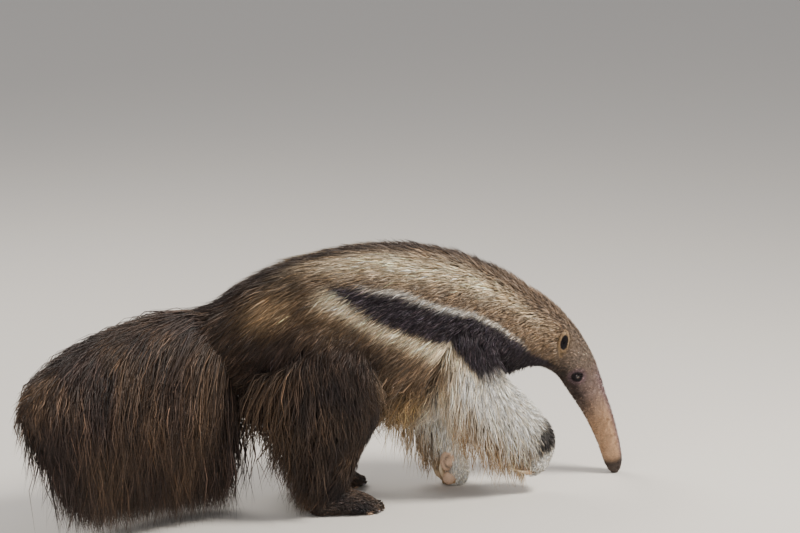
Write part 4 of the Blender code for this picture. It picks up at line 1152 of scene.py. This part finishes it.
BOTH = (-1, 1)
ALL_ROUND = (0, 181)
WHOLE = (-1, 8)
PATCHES = (
    Patch("coat_back", Slot.GRIZZLED, ("body",), WHOLE, (0, 42), BOTH, 9800, 3, 0.0030, 0.35, 0.05,
          ("torso",)),
    Patch("coat_flank_right", Slot.GRIZZLED, ("body",), WHOLE, (42, 118), (-1,), 10000, 3, 0.0029, 0.35,
          0.06, ("torso",)),
    Patch("coat_flank_left", Slot.GRIZZLED, ("body",), WHOLE, (42, 118), (1,), 6800, 3, 0.0036, 0.35,
          0.06, ("torso",)),
    Patch("coat_belly", Slot.GRIZZLED, ("body",), WHOLE, (118, 181), BOTH, 4200, 3, 0.0032, 0.50, 0.20,
          ("torso",)),
    Patch("coat_neck", Slot.GRIZZLED, ("body",), (8.0, 9.7), ALL_ROUND, BOTH, 7600, 3, 0.0023, 0.25,
          0.04, ("neck",)),
    Patch("coat_head", Slot.GRIZZLED, ("body", "ear_right", "ear_left"), (9.7, 16.6), ALL_ROUND, BOTH,
          14500, 2, 0.0013, 0.0, 0.03, ("head", "snout", "ear_left", "ear_right")),
    Patch("coat_tail_right_top", Slot.DARK, ("tail",), WHOLE, (0, 70), (-1,), 8000, 3, 0.0024, 0.22,
          0.07, ("tail",)),
    Patch("coat_tail_right_low", Slot.DARK, ("tail",), WHOLE, (70, 181), (-1,), 8600, 3, 0.0025, 0.22,
          0.07, ("tail",)),
    Patch("coat_tail_left", Slot.DARK, ("tail",), WHOLE, ALL_ROUND, (1,), 7400, 3, 0.0040, 0.34, 0.08,
          ("tail",)),
    Patch("coat_foreleg_right", Slot.PALE, ("fore_right",), WHOLE, ALL_ROUND, BOTH, 7500, 3, 0.0021,
          0.30, 0.08, ("foreleg_right", "hand_right")),
    Patch("coat_foreleg_left", Slot.PALE, ("fore_left",), WHOLE, ALL_ROUND, BOTH, 4800, 3, 0.0024, 0.30,
          0.08, ("foreleg_left", "hand_left")),
    Patch("coat_hindleg_right", Slot.DARK, ("hind_right", "foot_right"), WHOLE, ALL_ROUND, BOTH, 7600,
          3, 0.0025, 0.26, 0.09, ("hindleg_right", "foot_right")),
    Patch("coat_hindleg_left", Slot.DARK, ("hind_left", "foot_left"), WHOLE, ALL_ROUND, BOTH, 4800, 3,
          0.0038, 0.40, 0.10, ("hindleg_left", "foot_left")),
)


class Coat:
    """Tufts of hair over the skin, one object for each patch."""

    SINK = 0.003
    HEM_SHARE = 0.95
    SHARES = {2: (0.0, 0.5), 3: (0.0, 0.33, 0.68)}
    PROFILE = {2: (1.0, 0.75), 3: (0.8, 1.0, 0.65)}
    FLATNESS = 0.30
    SEED = 11
    LEADER_SHARE = 18
    LIES = {"body": BODY_LIE, "tail": TAIL_LIE, "fore": FORE_LIE, "hind": HIND_LIE, "foot": FOOT_LIE,
            "ear": EAR_LIE}

    def __init__(self, skin: bpy.types.Object, flesh: Flesh, markings: Markings) -> None:
        """Reads the skin's mesh once for all patches."""
        self.flesh = flesh
        self.markings = markings
        self.places = places_of(skin.data)
        self.normals = vertex_rows(skin.data, "normal")
        self.triangles = triangles_of(skin.data)
        corners = self.places[self.triangles]
        self.areas = np.linalg.norm(np.cross(corners[:, 1] - corners[:, 0], corners[:, 2] - corners[:, 0]),
                                    axis=1) / 2
        self.spots = flesh.locate(corners.mean(axis=1))
        self.heights = corners[:, :, 2].mean(axis=1)
        self.draws = np.random.default_rng(self.SEED)

    def lengths(self, spots: Spots) -> Floats:
        """Returns the hair's length at spots, blended by the angle between top, side and bottom."""
        out = np.zeros(len(spots.axis))
        for number, axis in enumerate(self.flesh.axes):
            rows = spots.axis == number
            lie = self.LIES[axis.name.split("_")[0]]
            at = spots.station[rows]
            angle = np.degrees(np.abs(spots.angle[rows]))
            ticks = np.arange(len(lie.top))
            top, flank, bottom = (np.interp(at, ticks, row) for row in (lie.top, lie.flank, lie.bottom))
            low = np.clip(angle / 90, 0, 1)
            high = np.clip(angle / 90 - 1, 0, 1)
            upper, lower = top + (flank - top) * low, flank + (bottom - flank) * high
            out[rows] = upper * (high == 0) + lower * (high > 0)
        return out

    def seeds(self, patch: Patch) -> tuple[Floats, Floats, Spots]:
        """Returns the roots of a patch's tufts with their normals and spots, spread by area and length."""
        spots = self.spots
        names = np.array([axis.name for axis in self.flesh.axes])
        wanted = [self.flesh.numbers[name] for name in patch.axes]
        angle = np.degrees(np.abs(spots.angle))
        fits = np.isin(spots.axis, wanted) & np.isin(np.where(spots.angle < 0, -1, 1), patch.sides)
        fits &= (angle >= patch.angles[0]) & (angle < patch.angles[1])
        low, high = patch.stations
        ear = np.char.startswith(names[spots.axis], "ear")
        fits &= ear | (spots.station >= low) & (spots.station < high)
        fits &= self.heights > 0.004
        weight = self.areas * fits / (0.02 + self.lengths(spots)) ** 0.7
        chosen = self.draws.choice(len(weight), patch.tufts, p=weight / weight.sum())
        share = self.draws.random((patch.tufts, 2))
        share = np.where(share.sum(axis=1, keepdims=True) > 1, 1 - share, share)
        share = np.column_stack([1 - share.sum(axis=1), share])[..., None]
        corners = self.triangles[chosen]
        roots = (self.places[corners] * share).sum(axis=1)
        normals = unit((self.normals[corners] * share).sum(axis=1))
        return roots, normals, self.flesh.locate(roots)

    def lies(self, spots: Spots, normals: Floats) -> tuple[Floats, Floats, Floats, Floats]:
        """Returns the direction in which hair lies at spots, and its lift, sag and cling.

        The lie is backward along the axis turned toward the way down round the section, laid flat on
        the skin.
        """
        count = len(normals)
        heading = np.zeros((count, 3))
        manner = np.zeros((count, 3))
        around = np.sign(spots.angle)[:, None] * (spots.side * np.cos(spots.angle)[:, None]
                                                  - spots.up * np.sin(spots.angle)[:, None])
        for number, axis in enumerate(self.flesh.axes):
            rows = spots.axis == number
            lie = self.LIES[axis.name.split("_")[0]]
            angle = np.degrees(np.abs(spots.angle[rows]))
            turn = np.radians(along(lie.turn, angle))[:, None]
            turn = turn + self.draws.normal(0, 0.10, turn.shape)
            low = smoothstep(100, 150, angle)[:, None] if lie.forward < 0 else 1.0
            sweep = around[rows] * (1 - low) - spots.up[rows] * low
            heading[rows] = lie.forward * spots.tangent[rows] * np.cos(turn) + sweep * np.sin(turn)
            manner[rows] = np.column_stack([along(curve, angle) for curve in (lie.lift, lie.sag, lie.cling)])
        heading = unit(heading - normals * dots(heading, normals))
        return heading, manner[:, 0:1], manner[:, 1:2], manner[:, 2:3]

    def paths(self, roots: Floats, normals: Floats, spots: Spots, lengths: Floats, rings: int) -> Floats:
        """Returns the points along each tuft from root to tip.

        Each stretch follows the heading, which bends to the ground as the hair sags, and every point is
        then lifted out of the flesh or, where the hair clings, drawn back toward it.
        """
        lie, lift, sag, cling = self.lies(spots, normals)
        lift = lift * self.draws.uniform(0.6, 1.4, lift.shape)
        heading = unit(lie * np.cos(lift) + normals * np.sin(lift))
        place = roots - normals * self.SINK
        shares = (*self.SHARES[rings], 1.0)
        length = lengths[:, None]
        path = [place]
        down = np.array([0.0, 0.0, -1.0])
        weight = np.clip(length / 0.12, 0.0, 1.5)
        short = np.minimum(0.10 * lengths + 0.002, 0.45 * lengths)
        height = np.maximum(spots.cover * self.draws.uniform(0.45, 1.08, len(lengths)), short)
        for before, after in zip(shares, shares[1:]):
            place = place + heading * length * (after - before)
            depth, outward = self.flesh.read(place)
            wanted = 0.0012 + height * after
            shift = (wanted - depth)[:, None]
            place = place + outward * np.where(shift > 0, shift, shift * cling)
            place[:, 2] = np.maximum(place[:, 2], 0.001)
            heading = heading + down * sag * weight * (after - before)
            flat = heading - outward * dots(heading, outward)
            heading = unit(heading + (flat - heading) * cling)
            path.append(place)
        return np.stack(path, axis=1)

    def clumped(self, path: Floats, strength: float) -> Floats:
        """Returns paths whose tips lean to the nearest leading tuft's, more toward the tip."""
        if strength <= 0:
            return path
        leaders = np.arange(0, len(path), self.LEADER_SHARE)
        roots = path[:, 0]
        lead = roots[leaders]
        near = np.concatenate([((lead ** 2).sum(axis=1) - 2 * roots[i:i + 4000] @ lead.T).argmin(axis=1)
                               for i in range(0, len(roots), 4000)])
        target = path[leaders[near]]
        share = np.linspace(0, 1, path.shape[1])[None, :, None] ** 1.3
        return path + (target - path) * share * strength

    def build(self, patch: Patch) -> bpy.types.Object:
        """Makes one patch of the coat as an object with its colours and bake map.

        Each tuft is a blade of three-sided rings along its path that ends in a point.
        """
        roots, normals, spots = self.seeds(patch)
        lengths = self.lengths(spots) * self.draws.uniform(0.65, 1.15, len(roots))
        reach = roots[:, 2] * self.draws.uniform(self.HEM_SHARE, self.HEM_SHARE + 0.2, len(roots))
        lengths = np.minimum(lengths, np.maximum(reach, 0.012))
        path = self.paths(roots, normals, spots, lengths, patch.rings)
        path = self.clumped(path, patch.clump)
        rings = patch.rings
        count = len(roots)
        heading = unit(np.diff(path, axis=1))
        face = unit(normals + self.draws.normal(0, 0.35, normals.shape))[:, None]
        across = unit(np.cross(face, heading))
        ridge = np.cross(heading, across)
        wave = self.draws.uniform(0, math.tau, (count, 1, 1)) + np.arange(rings + 1)[None, :, None] * 2.2
        ramp = np.linspace(0, 1, rings + 1)[None, :, None]
        bend = np.sin(wave) * patch.curl * lengths[:, None, None] * ramp
        sway = np.concatenate([across, across[:, -1:]], axis=1)
        path = path + sway * bend
        path[..., 2] = np.maximum(path[..., 2], 0.0008)
        size = patch.width * self.draws.uniform(0.7, 1.3, (count, 1)) * np.array(self.PROFILE[rings])[None]
        size = size[..., None]
        centre = path[:, :-1]
        points = np.stack([centre - across * size / 2, centre + ridge * size * self.FLATNESS,
                           centre + across * size / 2], axis=2)
        block = np.concatenate([points.reshape(count, rings * 3, 3), path[:, -1:]], axis=1)
        per = rings * 3 + 1
        triangles = self.blade_faces(rings)
        faces = (np.arange(count)[:, None, None] * per + triangles[None]).reshape(-1, 3)
        obj = triangle_object(patch.name, block.reshape(-1, 3), faces)
        smooth_shaded(obj)
        self.colour(obj, roots, spots, block, rings)
        self.map(obj, spots, patch, faces)
        return obj

    @staticmethod
    def blade_faces(rings: int) -> Ints:
        """Returns one blade's triangles: one at the root, two a side between rings, three at the tip."""
        faces = [[0, 1, 2]]
        for ring in range(rings - 1):
            for i in range(3):
                a, b = ring * 3 + i, ring * 3 + (i + 1) % 3
                faces += [[a, a + 3, b], [b, a + 3, b + 3]]
        top = (rings - 1) * 3
        faces += [[top + i, rings * 3, top + (i + 1) % 3] for i in range(3)]
        return np.array(faces)

    def colour(self, obj: bpy.types.Object, roots: Floats, spots: Spots, block: Floats, rings: int) -> None:
        """Paints tufts by the markings between root and tip, darker at the root, each its own brightness."""
        count = len(block)
        spine = np.concatenate([block[:, 1:-1:3], block[:, -1:]], axis=1)
        middle = roots[:, None] + (spine - roots[:, None]) * 0.55
        colours, contrast = self.markings.colours(middle.reshape(-1, 3), spots.pick(
            np.repeat(np.arange(count), rings + 1)))
        ring = np.concatenate([np.repeat(np.arange(rings), 3), [rings]])
        colours = colours.reshape(count, rings + 1, 3)[:, ring]
        contrast = contrast.reshape(count, rings + 1, 1)[:, ring]
        bright = self.draws.normal(0, 1.0, (count, 1, 1))
        gain = np.exp(bright * contrast * np.where(bright > 0, 0.80, 0.65))
        warm = self.draws.normal(0, 0.06, (count, 1, 1)) + 0.03 * contrast * np.maximum(bright, 0)
        warm = warm * np.array([1.0, 0.2, -1.0])
        share = np.concatenate([np.repeat(self.SHARES[rings], 3), [1.0]])[None, :, None]
        shade = 0.62 + 0.48 * share
        phase = self.draws.uniform(0, math.tau, (count, 1, 1))
        bands = 1 + 0.35 * contrast * np.sin(phase + share * 7.0)
        rows = np.clip(colours * gain * shade * bands * (1 + warm), 0.0, 1.0)
        paint(obj.data, ATTRIBUTE, rows.reshape(-1, 3))

    def map(self, obj: bpy.types.Object, spots: Spots, patch: Patch, faces: Ints) -> None:
        """Gives each tuft a small square of the bake map at its root's place on the skin's unwrap.

        The unwrap runs along each axis by its travel and round it by the angle, one strip for each axis.
        """
        rings = patch.rings
        strip = np.zeros(len(spots.axis))
        across = np.zeros(len(spots.axis))
        for row, name in enumerate(patch.axes):
            rows = spots.axis == self.flesh.numbers[name]
            strip[rows] = row / len(patch.axes)
            across[rows] = (spots.angle[rows] / math.tau + 0.5) / len(patch.axes)
        travel = spots.travel
        travel = (travel - travel.min()) / max(np.ptp(travel), 1e-6)
        middle = 0.01 + 0.98 * np.column_stack([travel, strip + across])
        length = np.concatenate([np.repeat(np.arange(rings) / rings, 3), [1.0]]) - 0.5
        width = np.concatenate([np.tile([-0.5, 0.0, 0.5], rings), [0.0]])
        corners = middle[:, None] + PATCH * np.stack([length, width], axis=-1)[None]
        flat = corners.reshape(-1, 2)[faces.ravel()]
        layer = obj.data.uv_layers.new(name=BAKE_MAP)
        layer.uv.foreach_set("vector", np.clip(flat, 0.0, 1.0).ravel())


@dataclass
class Claws:
    """The claws of both hands and both feet."""

    move: Floats
    hand: dict[str, tuple[float, float, float, float]] = field(default_factory=lambda: {
        "inner": (0.0048, 0.030, -0.026, 0.008), "second": (0.0078, 0.066, -0.0105, 0.000),
        "third": (0.0090, 0.084, 0.0090, 0.000), "outer": (0.0050, 0.034, 0.026, 0.018)})
    hand_roots: dict[Side, Triple] = field(default_factory=lambda: {
        Side.RIGHT: (0.478, -0.088, 0.057), Side.LEFT: (0.322, 0.040, 0.0145)})
    hand_sweeps: dict[Side, float] = field(default_factory=lambda: {
        Side.RIGHT: math.radians(24), Side.LEFT: math.radians(100)})
    foot: dict[str, float] = field(default_factory=lambda: {
        "first": 0.021, "second": 0.027, "third": 0.029, "fourth": 0.027, "fifth": 0.021})
    foot_radius: float = 0.0050
    foot_sweep: float = math.radians(30)

    def build(self, finish: bpy.types.Material) -> None:
        """Makes every claw where its solid is."""
        for side in Side:
            for digit, (radius, length, across, back) in self.hand.items():
                root = np.array(self.hand_roots[side]) + (-back, side.value * across, 0)
                self.claw("hand_" + side.word + "_" + digit, root, np.array([-1.0, 0, 0]),
                          np.array([0, 0, 1.0]), length, radius, self.hand_sweeps[side], finish, False)
            matrix, ankle = foot_frame(side)
            for k, (digit, length) in enumerate(self.foot.items()):
                spread = k - 2
                ahead = FOOT[-1][0][0] - 0.012 - TOE_CURVE * abs(spread)
                root = matrix @ np.array([ahead, side.value * spread * TOE_SPREAD, 0.0125]) + ankle
                heading = matrix @ np.array([1, side.value * spread * 0.08, -0.05])
                self.claw("foot_" + side.word + "_" + digit, root, heading, np.array([0, 0, -1.0]), length,
                          self.foot_radius, self.foot_sweep, finish, True)

    def claw(self, name: str, root: Floats, heading: Floats, bend: Floats, length: float, radius: float,
             sweep: float, finish: bpy.types.Material, dark: bool) -> None:
        """Makes one claw: an arc of circle that carries a narrowing section, higher on its outer side."""
        heading = unit(heading)
        bend = unit(bend - heading * (bend @ heading))
        across = np.cross(heading, bend)
        share = np.linspace(-0.06, 0.985, 26)[:, None]
        angle = sweep * share
        turn_radius = length / sweep
        centre = root + heading * turn_radius * np.sin(angle) + bend * turn_radius * (1 - np.cos(angle))
        outward = bend * np.cos(angle) - heading * np.sin(angle)
        size = radius * np.maximum(1 - np.maximum(share, 0), 0.0) ** 0.62
        spin = np.linspace(0, math.tau, 20, endpoint=False)[None, :, None]
        high = np.where(np.cos(spin) > 0, 1.05, 1.30)
        rings = (centre[:, None] + outward[:, None] * np.cos(spin) * high * size[:, None]
                 + across * np.sin(spin) * 0.92 * size[:, None])
        points, faces = tube_mesh(rings)
        points[:, 2] = np.maximum(points[:, 2], FLOOR_GAP)
        obj = plain_object("nail_" + name, points, faces)
        smooth_shaded(obj)
        dull = (tone(70, 62, 66), tone(150, 145, 150))
        tones = dull if dark else (tone(168, 132, 92), tone(232, 216, 186))
        shade = np.concatenate([np.repeat(np.clip(share[:, 0], 0, 1), rings.shape[1]), [0.0, 1.0]])
        paint(obj.data, ATTRIBUTE, mixed(tones[0], tones[1], shade ** 1.3))
        obj.data.transform(Matrix.Translation(Vector(self.move)))
        put(obj, finish, Slot.CLAW, "claw_" + name)


@dataclass
class Pads:
    """The bare pads of palms and toes, each a low egg, its crease painted darker as painted shade."""

    move: Floats
    palette: Palette
    palm_left: tuple[tuple[Triple, Triple], ...] = (
        ((0.300, 0.022, 0.064), (0.019, 0.011, 0.025)), ((0.306, 0.020, 0.022), (0.018, 0.012, 0.017)))
    palm_right: tuple[tuple[Triple, Triple], ...] = (
        ((0.452, -0.088, 0.064), (0.013, 0.024, 0.012)), ((0.466, -0.088, 0.053), (0.010, 0.022, 0.008)))
    toe_reach: Triple = (0.0125, 0.0068, 0.0085)
    toe_back: float = 0.018
    toe_height: float = 0.0088
    # Where the painted shade of the crease runs, as a share of the egg's reach.
    crease: float = 0.55

    def build(self, finish: bpy.types.Material) -> None:
        """Makes one piece for each hand and foot."""
        self.piece("pad_hand_left", self.palm_left, np.eye(3), 1, finish)
        self.piece("pad_hand_right", self.palm_right, np.eye(3), 1, finish)
        for side in Side:
            matrix, ankle = foot_frame(side)
            toes = []
            for spread in range(-2, 3):
                ahead = FOOT[-1][0][0] - self.toe_back - TOE_CURVE * abs(spread)
                local = np.array([ahead, spread * TOE_SPREAD, self.toe_height])
                toes.append((tuple(matrix @ local + ankle), self.toe_reach))
            self.piece("pad_foot_" + side.word, tuple(toes), matrix, 0, finish)

    def piece(self, name: str, eggs: tuple[tuple[Triple, Triple], ...], turned: Floats, creased: int,
              finish: bpy.types.Material) -> None:
        """Makes the eggs of one hand or foot as one painted piece.

        Args:
            name: The piece's name.
            eggs: Each egg's centre and reach.
            turned: The foot's turn.
            creased: How many of the first eggs carry a crease of painted shade.
            finish: The leather.
        """
        forms, colours = [], []
        for number, (centre, reach) in enumerate(eggs):
            form = egg("pad", np.array(centre), reach, tuple(turned.T))
            points = places_of(form.data)
            local = (points - centre) @ turned / reach
            across = np.hypot(local[:, 0], local[:, 2])
            # Painted shade: a dark ring along the crease.
            ring = np.exp(-((across - self.crease) / 0.10) ** 2) * smoothstep(0.55, -0.15, local[:, 0])
            ring = 0.95 * ring * (number < creased)
            colours.append(mixed(self.palette.pad, self.palette.dark, ring))
            forms.append(form)
        obj = joined(name, forms)
        points = places_of(obj.data)
        points[:, 2] = np.maximum(points[:, 2], FLOOR_GAP)
        obj.data.vertices.foreach_set("co", (points + self.move).ravel())
        paint(obj.data, ATTRIBUTE, np.vstack(colours))
        smooth_shaded(obj)
        put(obj, finish, Slot.PAD)


@dataclass
class Eyes:
    """Both eyeballs, set in their sockets."""

    move: Floats
    radius: float = EYE_RADIUS

    def build(self, finish: bpy.types.Material) -> None:
        """Makes both eyeballs: a ball with a low clear dome in front, painted from pupil to rim."""
        lat = np.linspace(0, math.pi, 40)[1:-1, None]
        lon = np.linspace(0, math.tau, 48, endpoint=False)[None]
        swell = self.radius * (1 + 0.05 * np.exp(-(lat / 0.5) ** 2))
        for side in Side:
            ball = np.stack([np.sin(lat) * np.cos(lon) * swell, side.value * np.cos(lat) * swell
                             * np.ones_like(lon), np.sin(lat) * np.sin(lon) * swell], axis=-1)
            points, faces = tube_mesh(ball)
            points[-2] = (0, side.value * self.radius * 1.05, 0)
            points[-1] = (0, -side.value * self.radius, 0)
            away = np.arccos(np.clip(side.value * points[:, 1] / self.radius, -1, 1))
            points = points + np.array(EYE_PLACE) * (1, side.value, 1) + self.move
            obj = plain_object("eyeball_" + side.word, points, faces)
            smooth_shaded(obj)
            brown = smoothstep(0.30, 0.40, away) * (1 - smoothstep(0.75, 0.95, away))
            colour = mixed(tone(14, 10, 12), tone(66, 40, 30), brown)
            paint(obj.data, ATTRIBUTE, colour)
            put(obj, finish, Slot.EYE, "eye_" + side.word)


@dataclass(frozen=True)
class Studio:
    """Floor, soft lights and the camera."""

    yaw: float = math.radians(20)
    pitch: float = math.radians(12.5)
    lens: float = 153.0
    camera_place: Triple = (-2.50710879, -7.35659948, 2.29317426)

    def build(self, move: Floats, floor_finish: bpy.types.Material) -> None:
        """Makes the floor, the lights, the sky and the camera."""
        scene = bpy.context.scene
        bpy.ops.mesh.primitive_plane_add(size=60)
        floor = bpy.context.active_object
        floor.name = "studio_floor"
        floor.data.materials.append(floor_finish)
        world = bpy.data.worlds.new("studio")
        world.use_nodes = True
        sky = world.node_tree.nodes["Background"]
        sky.inputs["Color"].default_value = (0.97, 0.97, 1.0, 1.0)
        sky.inputs["Strength"].default_value = 0.55
        scene.world = world
        self.lamp("key", (1.9, -1.3, 3.0), 0.9, 215, (1.0, 0.95, 0.86))
        self.lamp("rim", (-0.8, 2.4, 3.0), 2.0, 90, (1.0, 0.95, 0.88))
        self.lamp("fill", (-2.4, -3.0, 1.8), 2.5, 42, (1.0, 0.97, 0.93))
        data = bpy.data.cameras.new("camera")
        data.sensor_width = 36.0
        data.lens = self.lens
        camera = bpy.data.objects.new("camera", data)
        scene.collection.objects.link(camera)
        ahead = Vector((math.sin(self.yaw) * math.cos(self.pitch), math.cos(self.yaw) * math.cos(self.pitch),
                        -math.sin(self.pitch)))
        right = Vector((math.cos(self.yaw), -math.sin(self.yaw), 0))
        matrix = Matrix((right, right.cross(ahead), -ahead)).transposed().to_4x4()
        matrix.translation = Vector(self.camera_place) + Vector(move)
        camera.matrix_world = matrix
        scene.camera = camera

    @staticmethod
    def lamp(name: str, place: Triple, size: float, power: float, colour: Triple) -> None:
        """Makes a square soft light that faces the animal."""
        data = bpy.data.lights.new(name, "AREA")
        data.size = size
        data.energy = power
        data.color = colour
        lamp = bpy.data.objects.new(name, data)
        lamp.location = place
        lamp.rotation_mode = "QUATERNION"
        lamp.rotation_quaternion = (Vector((0, 0, 0.3)) - Vector(place)).to_track_quat("-Z", "Y")
        bpy.context.scene.collection.objects.link(lamp)


def main() -> None:
    """Builds the animal in order and logs each piece."""
    logging.basicConfig(level=logging.INFO, format="%(message)s")
    low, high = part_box("eye_left")
    move = np.array((low + high) / 2) - np.array(EYE_PLACE)
    palette = Palette()
    dress = Dress()
    skin = Skin()
    hide = skin.build()
    markings = Markings(skin.flesh, palette)
    points = places_of(hide.data)
    colours, _ = markings.colours(points, skin.flesh.locate(points))
    # The skin under the long coat, behind the face, is painted 35% darker: painted shade under the hair.
    covered = smoothstep(FACE_START + 1.0, FACE_START - 1.0, skin.flesh.locate(points).station)
    paint(hide.data, ATTRIBUTE, colours * (1 - 0.35 * covered[:, None]))
    smooth_shaded(hide)
    coat = Coat(hide, skin.flesh, markings)
    shift = Matrix.Translation(Vector(move))
    hide.data.transform(shift)
    put(hide, dress.hide(), Slot.SNOUT, *Skin.NODES)
    finishes = {Slot.GRIZZLED: dress.coat("hair_grizzled", 0.55), Slot.DARK: dress.coat("hair_dark", 0.50),
                Slot.PALE: dress.coat("hair_pale", 0.60)}
    for patch in PATCHES:
        tufts = coat.build(patch)
        tufts.data.transform(shift)
        put(tufts, finishes[patch.slot], patch.slot, *patch.nodes)
    Claws(move).build(dress.claw())
    Pads(move, palette).build(dress.pad())
    Eyes(move).build(dress.eye())
    Studio().build(move, dress.floor())


if __name__ == "__main__":
    main()
